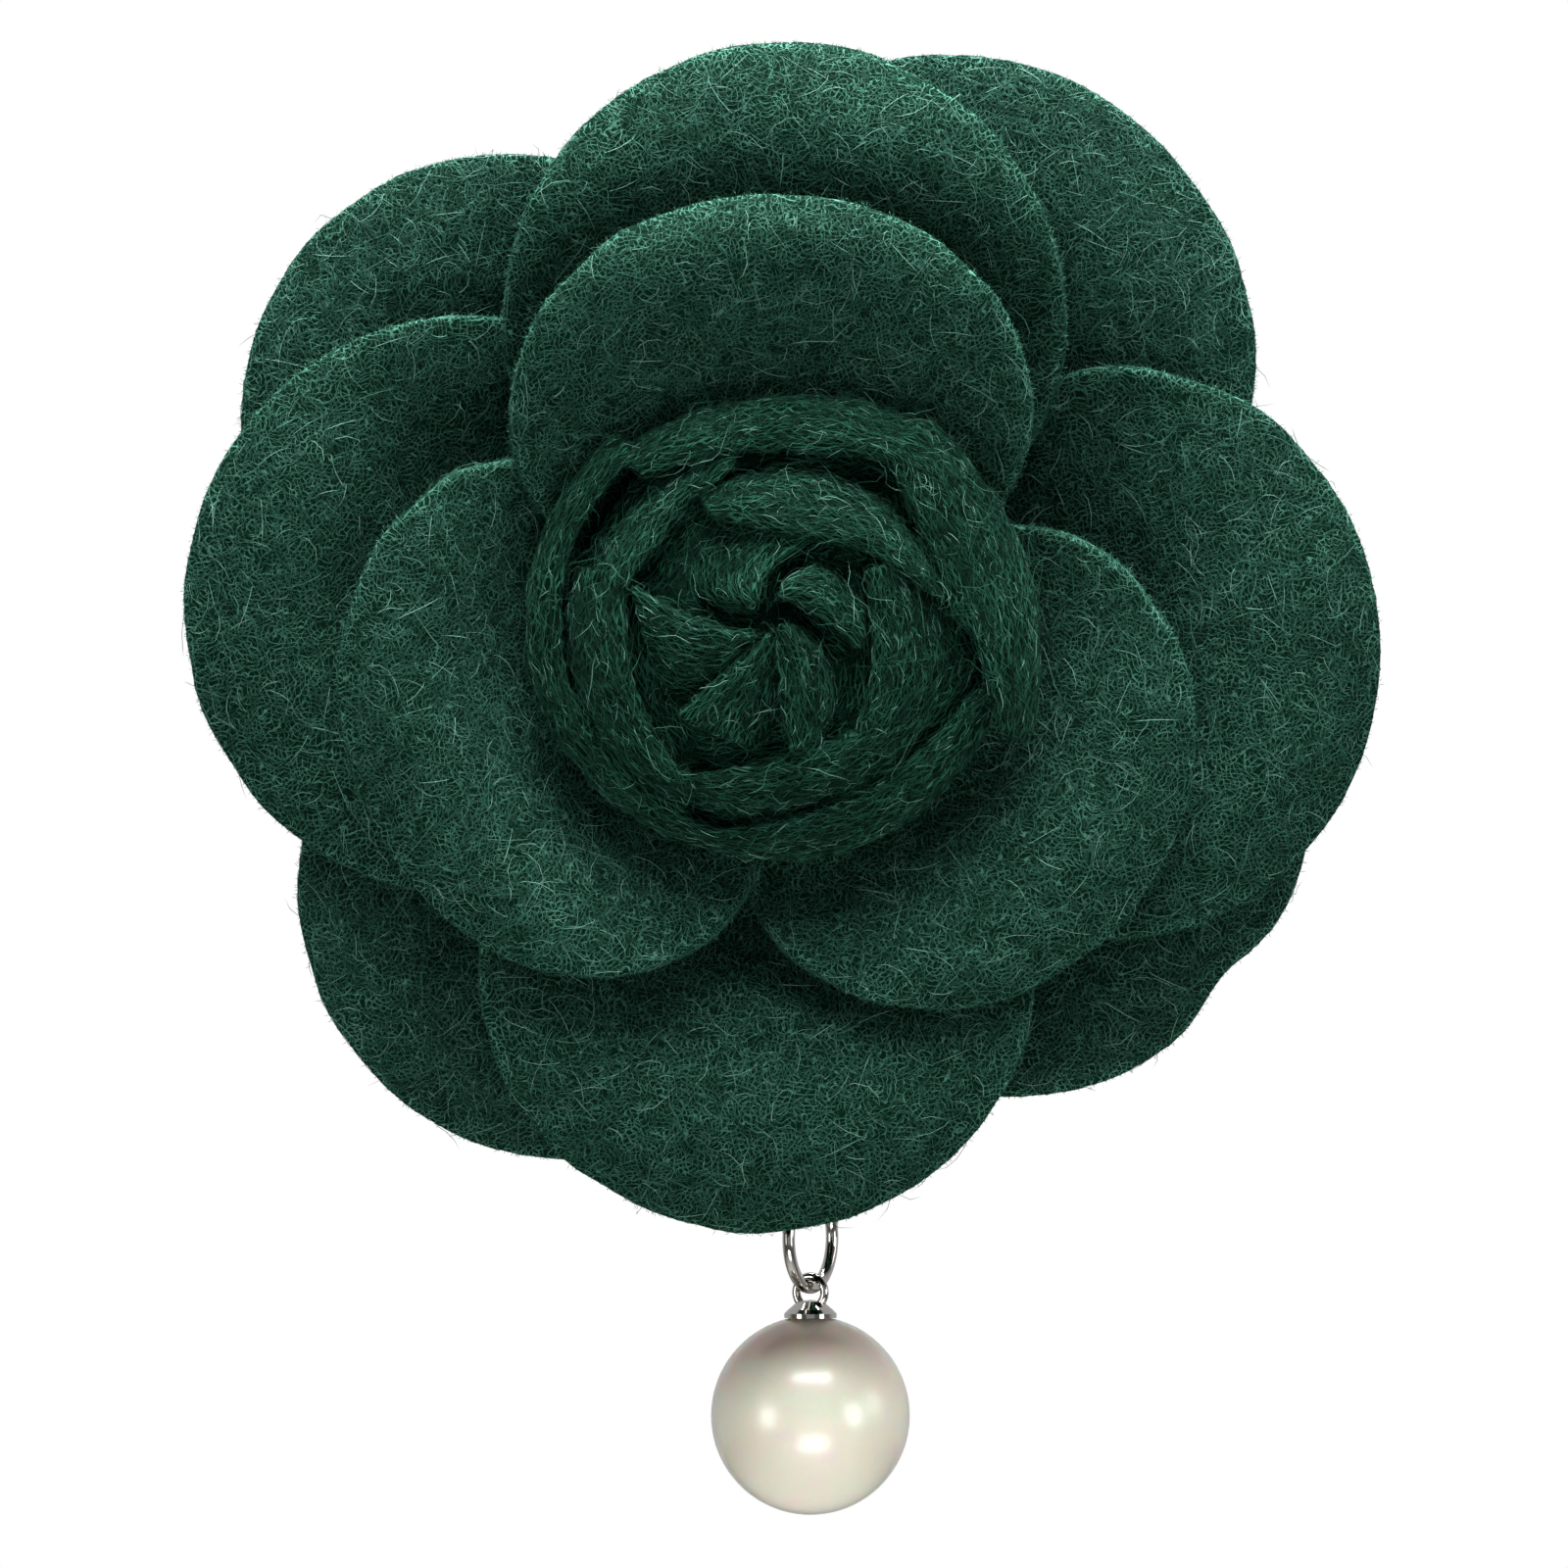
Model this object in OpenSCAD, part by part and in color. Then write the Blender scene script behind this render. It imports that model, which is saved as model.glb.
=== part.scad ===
// Flower brooch: a camellia of moulded felt petals round a rolled bud, with a pearl drop.
// The origin is where it pins on. The flower faces -Y, +Z is up and +X is to the viewer's right.
// Petals and bud are worked out in a frame of their own: x right, y up, depth forward of the cloth.

/* [Felt] */
// Thickness of the felt that the petals are cut from
felt_t = 1.3; // [1:0.1:1.4]
// Facets round the rim of a petal
petal_sides = 24; // [16:4:32]

/* [Flower] */
// Depth at which the rearmost petals start in front of the cloth
rear_level = 5.2; // [5:0.1:5.4]
// Depth at which the underside of the bud sits
bud_level = 27.2; // [27:0.1:27.8]
// Height of the bud from its underside to the tips of its folds
bud_h = 9.6; // [9:0.1:10.4]

/* [Pearl drop] */
// Diameter of the pearl
pearl_d = 14; // [13:0.5:14]
// Diameter of the hole drilled in the pearl
pearl_hole_d = 1.2; // [1.1:0.1:1.6]
// Diameter of the peg that is glued in that hole
peg_d = 1; // [0.8:0.1:1]
// Outer diameter of the cap's flange
cap_d = 3.7; // [3:0.1:4]
// Mean diameter of the cap's eye
eye_d = 2.2; // [2.2:0.1:2.4]
// Thickness of the wire of that eye
eye_wire = 0.6; // [0.5:0.05:0.6]
// Mean diameter of the jump ring
ring_d = 7; // [6.8:0.1:7]
// Thickness of the wire of the jump ring
ring_wire = 0.88; // [0.8:0.02:0.9]
// Turn of the jump ring's plane away from the line of sight, in degrees
ring_turn = 26; // [20:1:32]
// How far right of the flower's middle the drop hangs
drop_x = 2.2; // [1.5:0.1:2.6]

/* [Pin] */
// Length of the bar at the back
bar_l = 32; // [28:1:36]
// Width of that bar
bar_w = 5; // [4:0.5:6]
// Thickness of the bar
bar_t = 0.8; // [0.7:0.1:0.9]
// Thickness of the needle
needle_d = 0.9; // [0.8:0.1:1]

/* [Hidden] */
$fn = 48;
green = "#1c4a3b";
dark_green = "#153b2f";
silver = "#b9bdc0";
cream = "#e4dfcc";

// Petals: a row for each, with sizes in millimetres and angles in degrees
NAME = 0;
ANGLE = 1;    // which way it points from the flower's middle, counterclockwise from the right
CENTRE = 2;   // distance of its widest place from the flower's middle
TIP = 3;      // from its widest place out to the tip
HALF_W = 4;   // half of its width
ROOT = 5;     // from its widest place in to the root
LEVEL = 6;    // depth of its root, above that of the rearmost petals
LAYER = 7;    // row of the layers below
DENT = 8;     // depth of a dent in its rim
DENT_AT = 9;  // where that dent is, from the tip
petals = [
    ["petal_rear_top",          89,    22.0, 19.6, 19.5, 17.5, 0.0,  0, 0.0, 0],
    ["petal_rear_bottom",       267,   22.0, 19.4, 18.9, 17.5, 0.0,  0, 0.0, 0],
    ["petal_rear_left",         175,   22.2, 19.6, 19.8, 21.6, 2.2,  0, 0.3, 50],
    ["petal_rear_right",        356,   21.6, 19.2, 19.4, 20.8, 2.2,  0, 0.0, 0],
    ["petal_outer_top_left",    142,   24.0, 18.6, 18.6, 17.5, 4.2,  1, 0.0, 0],
    ["petal_outer_low_right",   325,   20.6, 19.9, 20.9, 17.5, 4.2,  1, 1.5, -6],
    ["petal_outer_top_right",   58.1,  22.4, 21.0, 21.4, 17.5, 6.6,  1, 0.0, 0],
    ["petal_outer_low_left",    231,   22.6, 19.2, 19.2, 17.5, 6.6,  1, 0.0, 0],
    ["petal_middle_left",       175,   21.5, 19.8, 20.2, 17.0, 9.1,  2, 0.0, 0],
    ["petal_middle_right",      356.4, 23.2, 18.5, 19.9, 17.0, 9.1,  2, 0.0, 0],
    ["petal_middle_top",        89,    21.4, 19.3, 19.6, 17.0, 11.5, 2, 0.0, 0],
    ["petal_middle_bottom",     266.2, 23.0, 18.6, 19.4, 17.0, 11.5, 2, 0.0, 0],
    ["petal_inner_right",       323.6, 15.2, 15.8, 17.8, 14.0, 14.4, 3, 0.0, 0],
    ["petal_inner_left",        202,   15.7, 15.2, 18.5, 14.0, 16.8, 3, 0.0, 0],
    ["petal_inner_top",         92,    15.1, 14.9, 18.1, 14.0, 19.2, 3, 0.0, 0],
];

// Layers: how the petals of one layer are cupped, rearmost first
FLAT_R = 0;    // the bowl is flat as far out as this
CREST_R = 1;   // and full from here on
RISE = 2;      // how far the bowl comes forward
TIP_ROLL = 3;  // how far the tip rolls back
SIDE_ROLL = 4; // and the sides
layers = [
    [14, 35, 7.0, 0.3, 0.2],
    [15, 37, 11.3, 2.6, 0.8],
    [15, 37, 11.8, 3.2, 1.1],
    [11.5, 29, 10.5, 2.8, 1.0],
];
dent_width = 11;

// Rings of points from the middle of a petal to its rim, as shares of the way
petal_rings = [0.3, 0.56, 0.78, 0.92, 1];

function smooth_step(t) = let (s = min(1, max(0, t))) s * s * (3 - 2 * s);
function unit(v) = v / norm(v);

// How far back the rim rolls in a direction away from the tip
function rim_roll(layer, angle) =
    let (c = cos(angle))
    c > 0 ? layer[SIDE_ROLL] + (layer[TIP_ROLL] - layer[SIDE_ROLL]) * c * c
          : layer[SIDE_ROLL] * (1 + c);

// Depth of a petal's middle surface, at a place out along the petal and across it
function petal_depth(p, out, across) =
    let (
        layer = layers[p[LAYER]],
        a = (out - p[CENTRE]) / (out > p[CENTRE] ? p[TIP] : p[ROOT]),
        b = across / p[HALF_W],
        share = norm([a, b]),
        bowl = smooth_step((norm([out, across]) - layer[FLAT_R]) / (layer[CREST_R] - layer[FLAT_R]))
    )
    rear_level + p[LEVEL] + layer[RISE] * bowl
        - rim_roll(layer, share > 0 ? atan2(b, a) : 0) * pow(share, 5);

function rim_share(p, angle) = 1 - p[DENT] / p[TIP] * exp(-pow((angle - p[DENT_AT]) / dent_width, 2));

// One point of a petal's front or back face: side is 1 for the front and -1 for the back
function petal_point(p, share, angle, side) =
    let (
        s = share * rim_share(p, angle),
        out = p[CENTRE] + s * cos(angle) * (cos(angle) > 0 ? p[TIP] : p[ROOT]),
        across = s * sin(angle) * p[HALF_W],
        e = 0.05,
        slope_out = (petal_depth(p, out + e, across) - petal_depth(p, out - e, across)) / (2 * e),
        slope_across = (petal_depth(p, out, across + e) - petal_depth(p, out, across - e)) / (2 * e),
        place = [out, across, petal_depth(p, out, across)]
            + side * felt_t / 2 * unit([-slope_out, -slope_across, 1])
    )
    [
        place.x * cos(p[ANGLE]) - place.y * sin(p[ANGLE]),
        place.x * sin(p[ANGLE]) + place.y * cos(p[ANGLE]),
        place.z
    ];

function petal_face(p, side) = concat(
    [petal_point(p, 0, 0, side)],
    [for (share = petal_rings, k = [0:petal_sides - 1])
        let (turn = 360 * k / petal_sides)
        petal_point(p, share, turn > 180 ? turn - 360 : turn, side)]
);

module petal(p) {
    n = petal_sides;
    rings = len(petal_rings);
    back = 1 + n * rings;
    faces = [for (k = [0:n - 1]) let (
        m = (k + 1) % n,
        rim = 1 + n * (rings - 1),
        front_quads = [for (r = [0:rings - 2])
            [1 + r * n + k, 1 + (r + 1) * n + k, 1 + (r + 1) * n + m, 1 + r * n + m]],
        quads = concat(
            front_quads,
            [for (q = front_quads) [q[3] + back, q[2] + back, q[1] + back, q[0] + back]],
            [[rim + k, rim + k + back, rim + m + back, rim + m]]
        ),
        triangles = concat(
            [[0, 1 + k, 1 + m], [back, back + 1 + m, back + 1 + k]],
            [for (q = quads) [q[0], q[1], q[2]]],
            [for (q = quads) [q[0], q[2], q[3]]]
        )
    ) each triangles];
    clockwise = [for (f = faces) [f[0], f[2], f[1]]];
    polyhedron(points = concat(petal_face(p, 1), petal_face(p, -1)), faces = clockwise);
}

// Wraps of the bud: bands of the strip round the middle, each with its fold on the inside
FROM = 0;       // where the fold starts, counterclockwise from the right
TO = 1;         // and where it ends
FOLD_R = 2;     // how far out the fold is, at its start, middle and end
BAND_W = 3;     // how wide the band is outside the fold, at the same places
TOP = 4;        // height of the fold above the bud's underside, at its start and end
DROP = 5;       // how far the band falls to its outer side
wraps = [
    [131, 262, [14.3, 14.7, 15.4], [1.9, 2.2, 1.3], [5.0, 4.2], 2.0],
    [133, 50,  [12.8, 11.2, 13.3], [2.4, 3.6, 3.6], [5.6, 6.2], 2.6],
    [340, 258, [15.2, 13.6, 15.2], [1.4, 3.4, 1.4], [5.0, 4.5], 2.2],
    [52, -27,  [13.4, 11.9, 17.6], [3.6, 5.8, 2.2], [6.8, 5.4], 2.6],
    [103, 172, [10.4, 9.1, 10.2],  [1.4, 2.9, 2.2], [5.6, 6.8], 2.4],
    [166, 246, [10.2, 10.5, 13.0], [3.4, 3.8, 2.0], [6.8, 6.0], 1.9],
    [310, 240, [10.2, 9.9, 12.6],  [3.0, 3.4, 1.6], [6.8, 6.0], 1.9],
    [24, -54,  [7.0, 7.2, 9.8],    [3.0, 5.2, 3.4], [7.8, 7.0], 3.0],
    [122, 4,   [7.6, 5.7, 11.6],   [2.0, 4.7, 0.6], [7.3, 7.8], 2.4],
];

// Flaps at the middle of the bud, like a pinwheel: each has its fold on the clockwise side
CREST = 0;      // direction and distance of the fold at its tip, half way and at its root
SIDE = 1;       // the same of the flap's other side
FLAP_TOP = 2;   // height of the fold at its tip and at its root
FLAP_DROP = 3;  // how far the flap falls to its other side
flaps = [
    [[[80, 1.0], [4, 2.6], [-24, 6.8]],     [[72, 1.7], [42, 4.7], [2, 6.6]],     [9.4, 7.8], 2.0],
    [[[125, 1.2], [82, 3.7], [60, 5.6]],    [[185, 1.6], [158, 5.5], [114, 7.2]], [9.0, 6.6], 2.4],
    [[[234, 1.7], [184, 5.3], [168, 10.0]], [[238, 2.8], [232, 7.0], [214, 9.2]], [8.9, 7.4], 3.2],
    [[[262, 1.3], [232, 5.0], [226, 9.8]],  [[285, 2.2], [274, 5.8], [268, 9.8]], [9.2, 7.4], 2.8],
    [[[300, 0.9], [276, 5.2], [277, 9.6]],  [[340, 1.5], [315, 6.0], [291, 9.7]], [9.3, 7.6], 2.4],
];
pinwheel_at = [-0.55, 1.2];

// The solid heart that the wraps and flaps stand on: radius and height of its levels, lowest first
LEVEL_R = 0;
LEVEL_H = 1;
heart = [[6.5, -1.9], [6.5, 0], [14.4, 2.8], [6, 5.4]];
heart_level_t = 0.2;
bud_full_h = 9.6;

// Section of a fold
fold_wall_h = 1.2;      // upright stretch of its inner wall
fold_edge = 0.1;        // how far the crest stands back from that wall
fold_round = 0.5;       // width and height of the rounding of its crest
fold_t = 1.5;           // the doubled felt along the crest
fold_share = 0.7;       // or this share of the band, where that is less
crest_fall = 0.25;      // how far the doubled felt falls
foot_h = 1;             // upright stretch at the band's outer side
foot_in = 0.2;          // which leans in by this much
underside_share = 0.42; // how far out the band stands on the bud's underside
wrap_step = 12;         // degrees from one section of a wrap to the next
flap_steps = 4;

function through(v, t) = v[0] * (1 - t) * (1 - 2 * t) + v[1] * 4 * t * (1 - t) + v[2] * t * (2 * t - 1);
function between(v, t) = v[0] + (v[1] - v[0]) * t;
function polar(r, angle) = pinwheel_at + r * [cos(angle), sin(angle)];

// Section of a fold: a wedge from its crest at one place down to its foot at another
function fold_section(crest, foot, top, drop) =
    let (
        across = unit(foot - crest),
        band_w = norm(foot - crest),
        under = [for (q = [crest, foot]) underside_share * q]
    )
    [for (q = [
        [under[0], 0],
        [crest, top - fold_wall_h],
        [crest + across * fold_edge, top - fold_round],
        [crest + across * min(fold_round, band_w / 3), top],
        [crest + across * min(fold_t, band_w * fold_share), top - crest_fall],
        [foot, top - drop],
        [foot - across * foot_in, top - drop - foot_h],
        [under[1], 0]
    ]) [q[0].x, q[0].y, q[1]]];

// A row of solid steps through the sections of one fold
module fold_steps(sections) {
    n = len(sections[0]);
    for (i = [1:len(sections) - 1])
        hull() polyhedron(
            points = concat(sections[i - 1], sections[i]),
            faces = concat(
                [[for (k = [0:n - 1]) k], [for (k = [n - 1:-1:0]) n + k]],
                [for (k = [0:n - 1]) [k, n + k, n + (k + 1) % n, (k + 1) % n]]
            )
        );
}

module wrap(w) {
    steps = ceil(abs(w[TO] - w[FROM]) / wrap_step);
    fold_steps([for (i = [0:steps]) let (
        t = i / steps,
        angle = between([w[FROM], w[TO]], t),
        r = through(w[FOLD_R], t),
        outer_r = r + through(w[BAND_W], t)
    ) fold_section(polar(r, angle), polar(outer_r, angle), between(w[TOP], t), w[DROP])]);
}

module flap(f) {
    fold_steps([for (i = [0:flap_steps]) let (
        t = i / flap_steps,
        lines = [for (line = [f[CREST], f[SIDE]]) through([for (q = line) polar(q[1], q[0])], t)]
    ) fold_section(lines[0], lines[1], between(f[FLAP_TOP], t), f[FLAP_DROP])]);
}

// From the flower's own frame to the brooch's: depth forward becomes -Y
module facing_front() {
    rotate([90, 0, 0]) children();
}

module bud() {
    color(green) facing_front() translate([0, 0, bud_level]) scale([1, 1, bud_h / bud_full_h]) union() {
        hull() for (q = heart) translate([0, 0, q[LEVEL_H]]) cylinder(r = q[LEVEL_R], h = heart_level_t);
        for (w = wraps) wrap(w);
        for (f = flaps) flap(f);
    }
}

// The drop: heights of its pieces, worked out from the hole in its petal downwards
ring_petal = petals[1];
hole_margin = 2.34;   // from the petal's tip to the middle of the hole
felt_hole_d = 2.9;
eye_gap = 0.04;       // between the ring and the eye that hangs on it
eye_sunk = 0.45;      // how deep the eye sits in the cap's top
cap_crown = 0.12;     // how far the cap's top is domed
cap_top_r = 0.9;
cap_fall = 0.85;      // from the cap's top to its flange
cap_edge_t = 0.3;
cap_wall = 0.1;
pearl_gap = 0.07;     // between the cap and the pearl
peg_l = 5;            // how deep the peg and its hole go into the pearl
pearl_hole_l = 5.6;

function petal_out(p, x, y) = x * cos(p[ANGLE]) + y * sin(p[ANGLE]);
function petal_across(p, x, y) = y * cos(p[ANGLE]) - x * sin(p[ANGLE]);

hang_z = hole_margin - ring_petal[CENTRE] - ring_petal[TIP];
hang_out = petal_out(ring_petal, drop_x, hang_z);
hang_across = petal_across(ring_petal, drop_x, hang_z);
hang_depth = petal_depth(ring_petal, hang_out, hang_across);
eye_z = hang_z - ring_d + ring_wire / 2 + eye_gap - (eye_d - eye_wire) / 2;
cap_top_z = eye_z - eye_d / 2 + eye_sunk;
cap_floor_z = cap_top_z - cap_fall - cap_wall;
pearl_top_z = cap_floor_z - pearl_gap;

// A child placed where the drop hangs, turned so that its X runs along the jump ring's plane
module on_drop(z) {
    translate([drop_x, -hang_depth, z]) rotate([0, 0, 90 - ring_turn]) children();
}

module jump_ring() {
    color(silver) on_drop(hang_z - ring_d / 2) rotate([90, 0, 0])
        rotate_extrude() translate([ring_d / 2, 0]) circle(d = ring_wire);
}

module drop_cap() {
    flange_r = cap_d / 2;
    color(silver) union() {
        on_drop(eye_z) rotate([90, 0, 90])
            rotate_extrude() translate([eye_d / 2, 0]) circle(d = eye_wire);
        on_drop(cap_top_z) rotate_extrude() polygon([
            [0, cap_crown],
            [cap_top_r, 0],
            [flange_r - cap_edge_t, -cap_fall + cap_edge_t],
            [flange_r, -cap_fall],
            [flange_r, -cap_fall - cap_edge_t],
            [flange_r - cap_edge_t, -cap_fall - cap_edge_t],
            [cap_top_r, -cap_fall - cap_wall],
            [0, -cap_fall - cap_wall]
        ]);
        on_drop(pearl_top_z - peg_l) cylinder(d = peg_d, h = peg_l + cap_fall);
    }
}

module pearl() {
    color(cream) on_drop(pearl_top_z - pearl_d / 2) difference() {
        sphere(d = pearl_d);
        translate([0, 0, pearl_d / 2 - pearl_hole_l]) cylinder(d = pearl_hole_d, h = pearl_hole_l + 1);
    }
}

// The pin: a bar against the felt, and a needle behind it from a knuckle to a catch
bar_gap = 0.15;
knuckle_w = 2.4;
knuckle_d = 2.2;
catch_arm_w = 0.8;
catch_bore_share = 0.8;  // the catch grips the needle's point, so its bore is a little smaller
needle_depth = knuckle_d / 2;
bar_depth = rear_level - felt_t / 2 - bar_gap - bar_t;
catch_x = (bar_l - bar_w) / 2;

module brooch_pin() {
    arm_h = bar_depth - needle_depth + bar_t / 2;
    arm_foot = needle_d * catch_bore_share / 2 + bar_gap;
    color(silver) facing_front() union() {
        translate([0, 0, bar_depth]) linear_extrude(bar_t) union() {
            square([2 * catch_x, bar_w], center = true);
            for (side = [-1, 1]) translate([side * catch_x, 0]) circle(d = bar_w);
        }
        translate([-catch_x, 0, needle_depth]) rotate([90, 0, 0])
            cylinder(d = knuckle_d, h = knuckle_w, center = true);
        translate([-catch_x - knuckle_d / 2, -knuckle_w / 2, needle_depth])
            cube([knuckle_d, knuckle_w, arm_h]);
        translate([-catch_x, 0, needle_depth]) rotate([0, 90, 0])
            cylinder(d = needle_d, h = 2 * catch_x + knuckle_w / 2);
        translate([catch_x, 0, needle_depth]) rotate([0, 90, 0]) difference() {
            cylinder(d = knuckle_d, h = knuckle_w, center = true);
            cylinder(d = needle_d * catch_bore_share, h = knuckle_w + 1, center = true);
        }
        translate([catch_x - knuckle_w / 2, -catch_arm_w / 2, needle_depth + arm_foot])
            cube([knuckle_w, catch_arm_w, arm_h - arm_foot]);
    }
}

module petal_node(p) {
    color(p[LAYER] < 2 ? dark_green : green) facing_front() difference() {
        petal(p);
        if (p[NAME] == ring_petal[NAME])
            translate([drop_x, hang_z, 0]) cylinder(d = felt_hole_d, h = bud_level);
    }
}

for (p = petals) petal_node(p);
bud();
jump_ring();
drop_cap();
pearl();
brooch_pin();
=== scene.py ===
"""Dresses the flower brooch: felt petals and a rolled felt bud, their loose wool fibres, and the pearl drop.

Shapes are worked out in millimetres in the flower's own frame (x right, y up, depth forward of the cloth),
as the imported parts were, and then placed in the brooch's frame in metres, where depth forward is -Y.
"""
import logging
import math
from contextlib import contextmanager
from dataclasses import dataclass, field
from enum import Enum
from typing import Callable, ClassVar, Iterable, Iterator

import bpy
import numpy as np
from mathutils import Matrix, Vector
from mathutils.bvhtree import BVHTree
from mathutils.kdtree import KDTree


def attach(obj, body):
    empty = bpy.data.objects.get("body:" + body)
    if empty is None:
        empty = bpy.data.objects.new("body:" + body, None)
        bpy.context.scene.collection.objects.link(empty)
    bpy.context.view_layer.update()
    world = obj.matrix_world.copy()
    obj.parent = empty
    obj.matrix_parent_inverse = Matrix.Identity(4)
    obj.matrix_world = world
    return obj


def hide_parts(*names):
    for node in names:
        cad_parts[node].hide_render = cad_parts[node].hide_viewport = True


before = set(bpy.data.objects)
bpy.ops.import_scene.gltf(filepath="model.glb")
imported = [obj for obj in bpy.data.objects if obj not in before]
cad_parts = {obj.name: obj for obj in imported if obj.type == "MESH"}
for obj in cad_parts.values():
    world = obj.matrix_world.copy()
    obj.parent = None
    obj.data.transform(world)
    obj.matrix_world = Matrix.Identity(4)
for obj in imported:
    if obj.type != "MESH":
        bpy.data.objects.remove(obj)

log = logging.getLogger("brooch")
MM = 0.001
FLOWER = "flower"  # the body that the felt and its fibres ride on
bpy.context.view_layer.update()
Pairs = tuple[tuple[float, float], ...]
Lines = tuple[np.ndarray, np.ndarray, np.ndarray]


def linear(hex_colour: str) -> tuple[float, float, float, float]:
    """Turns an sRGB hex colour into linear values.

    Args:
        hex_colour: a colour such as "#1f4f40".

    Returns:
        Red, green, blue and an alpha of 1.
    """
    parts = (int(hex_colour[i:i + 2], 16) / 255 for i in (1, 3, 5))
    red, green, blue = (c / 12.92 if c <= 0.04045 else ((c + 0.055) / 1.055) ** 2.4 for c in parts)
    return red, green, blue, 1.0


def add_node(tree: bpy.types.NodeTree, kind: str, inputs: dict | None = None,
             to: bpy.types.NodeSocket | None = None, stops: Iterable[tuple[float, str]] = (),
             **settings: object) -> bpy.types.Node:
    """Adds one shader node with its settings and links.

    Args:
        tree: the node tree.
        kind: the node's type without its "ShaderNode" prefix.
        inputs: socket name or number to a value, or to the output that it is linked from; a node stands
            for its first output.
        to: the socket that the new node's first output is linked to.
        stops: places from 0 to 1 with sRGB hex colours, for a colour ramp.
        settings: properties of the node, such as operation="MULTIPLY".

    Returns:
        The new node.
    """
    node = tree.nodes.new("ShaderNode" + kind)
    for name, value in settings.items():
        setattr(node, name, value)
    for socket, value in (inputs or {}).items():
        if isinstance(value, bpy.types.Node):
            value = value.outputs[0]
        if isinstance(value, bpy.types.NodeSocket):
            tree.links.new(value, node.inputs[socket])
        else:
            node.inputs[socket].default_value = value
    if to:
        tree.links.new(node.outputs[0], to)
    for number, (place, colour) in enumerate(stops):
        band = node.color_ramp.elements
        stop = band[number] if number < len(band) else band.new(place)
        stop.position, stop.color = place, linear(colour)
    return node


def new_material(name: str, **shader: object) -> tuple[
        bpy.types.Material, bpy.types.NodeTree, bpy.types.NodeInputs]:
    """Makes a material with one Principled shader.

    Args:
        name: the material's name.
        shader: socket names of the shader, with _ for spaces, and their values.

    Returns:
        The material, its node tree and the shader's inputs.
    """
    material = bpy.data.materials.new(name)
    material.use_nodes = True
    tree = material.node_tree
    tree.nodes.clear()
    bsdf = add_node(tree, "BsdfPrincipled", {k.replace("_", " "): v for k, v in shader.items()})
    add_node(tree, "OutputMaterial", {"Surface": bsdf})
    return material, tree, bsdf.inputs


def deselect() -> None:
    """Leaves nothing selected, because operators act on all that is."""
    if bpy.context.object and bpy.context.object.mode != "OBJECT":
        bpy.ops.object.mode_set(mode="OBJECT")
    bpy.ops.object.select_all(action="DESELECT")


def activate(piece: bpy.types.Object) -> None:
    """Selects one object alone and makes it the active one.

    Args:
        piece: the object.
    """
    deselect()
    piece.select_set(True)
    bpy.context.view_layer.objects.active = piece


@contextmanager
def editing(piece: bpy.types.Object) -> Iterator[None]:
    """Edit mode on one object, with all of its mesh selected at first.

    Args:
        piece: the mesh object.

    Returns:
        A context that ends back in object mode.
    """
    activate(piece)
    bpy.ops.object.mode_set(mode="EDIT")
    bpy.ops.mesh.select_all(action="SELECT")
    try:
        yield
    finally:
        bpy.ops.object.mode_set(mode="OBJECT")


def read_rows(items: bpy.types.bpy_prop_collection, key: str, kind: type) -> np.ndarray:
    """Reads a property of three numbers from each item of a mesh.

    Args:
        items: vertices or triangles.
        key: the property's name.
        kind: the type of its numbers.

    Returns:
        A row of three for each.
    """
    flat = np.empty(len(items) * 3, kind)
    items.foreach_get(key, flat)
    return flat.reshape(-1, 3)


def points_of(piece: bpy.types.Object) -> np.ndarray:
    """The vertices of a mesh object as an array of rows x, y, z."""
    return read_rows(piece.data.vertices, "co", np.float32).astype(float)


def move_points(piece: bpy.types.Object, points: np.ndarray) -> None:
    """Moves the vertices of a mesh object to these places."""
    piece.data.vertices.foreach_set("co", points.astype(np.float32).ravel())
    piece.data.update()


def write_attribute(mesh: bpy.types.Mesh, name: str, values: np.ndarray) -> None:
    """Keeps a number or a vector for each vertex of a mesh under this name."""
    kind, key = ("FLOAT", "value") if values.ndim == 1 else ("FLOAT_VECTOR", "vector")
    mesh.attributes.new(name, kind, "POINT").data.foreach_set(key, values.astype(np.float32).ravel())


def smooth(piece: bpy.types.Object) -> None:
    """Shades an object smooth."""
    activate(piece)
    bpy.ops.object.shade_smooth()


def new_object(name: str, data: bpy.types.ID) -> bpy.types.Object:
    """Puts a new object in the scene.

    Args:
        name: the name of the object and of its data.
        data: its mesh, camera or light.

    Returns:
        The object.
    """
    data.name = name
    made = bpy.data.objects.new(name, data)
    bpy.context.scene.collection.objects.link(made)
    return made


def finish_with(piece: bpy.types.Object, *modifiers: tuple[str, dict]) -> None:
    """Adds modifiers one by one and applies each.

    Args:
        piece: the mesh object.
        modifiers: each a modifier's type and its settings.
    """
    activate(piece)
    for kind, settings in modifiers:
        modifier = piece.modifiers.new(kind.lower(), kind)
        for name, value in settings.items():
            setattr(modifier, name, value)
        bpy.ops.object.modifier_apply(modifier=modifier.name)


def facing_front(points: np.ndarray) -> np.ndarray:
    """From the flower's own frame in mm to the brooch's in metres: depth forward becomes -Y."""
    return np.stack([points[..., 0], -points[..., 2], points[..., 1]], -1) * MM


def smooth_step(t: np.ndarray) -> np.ndarray:
    """Rises smoothly from 0 to 1 while t does."""
    s = np.clip(t, 0, 1)
    return s * s * (3 - 2 * s)


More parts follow.
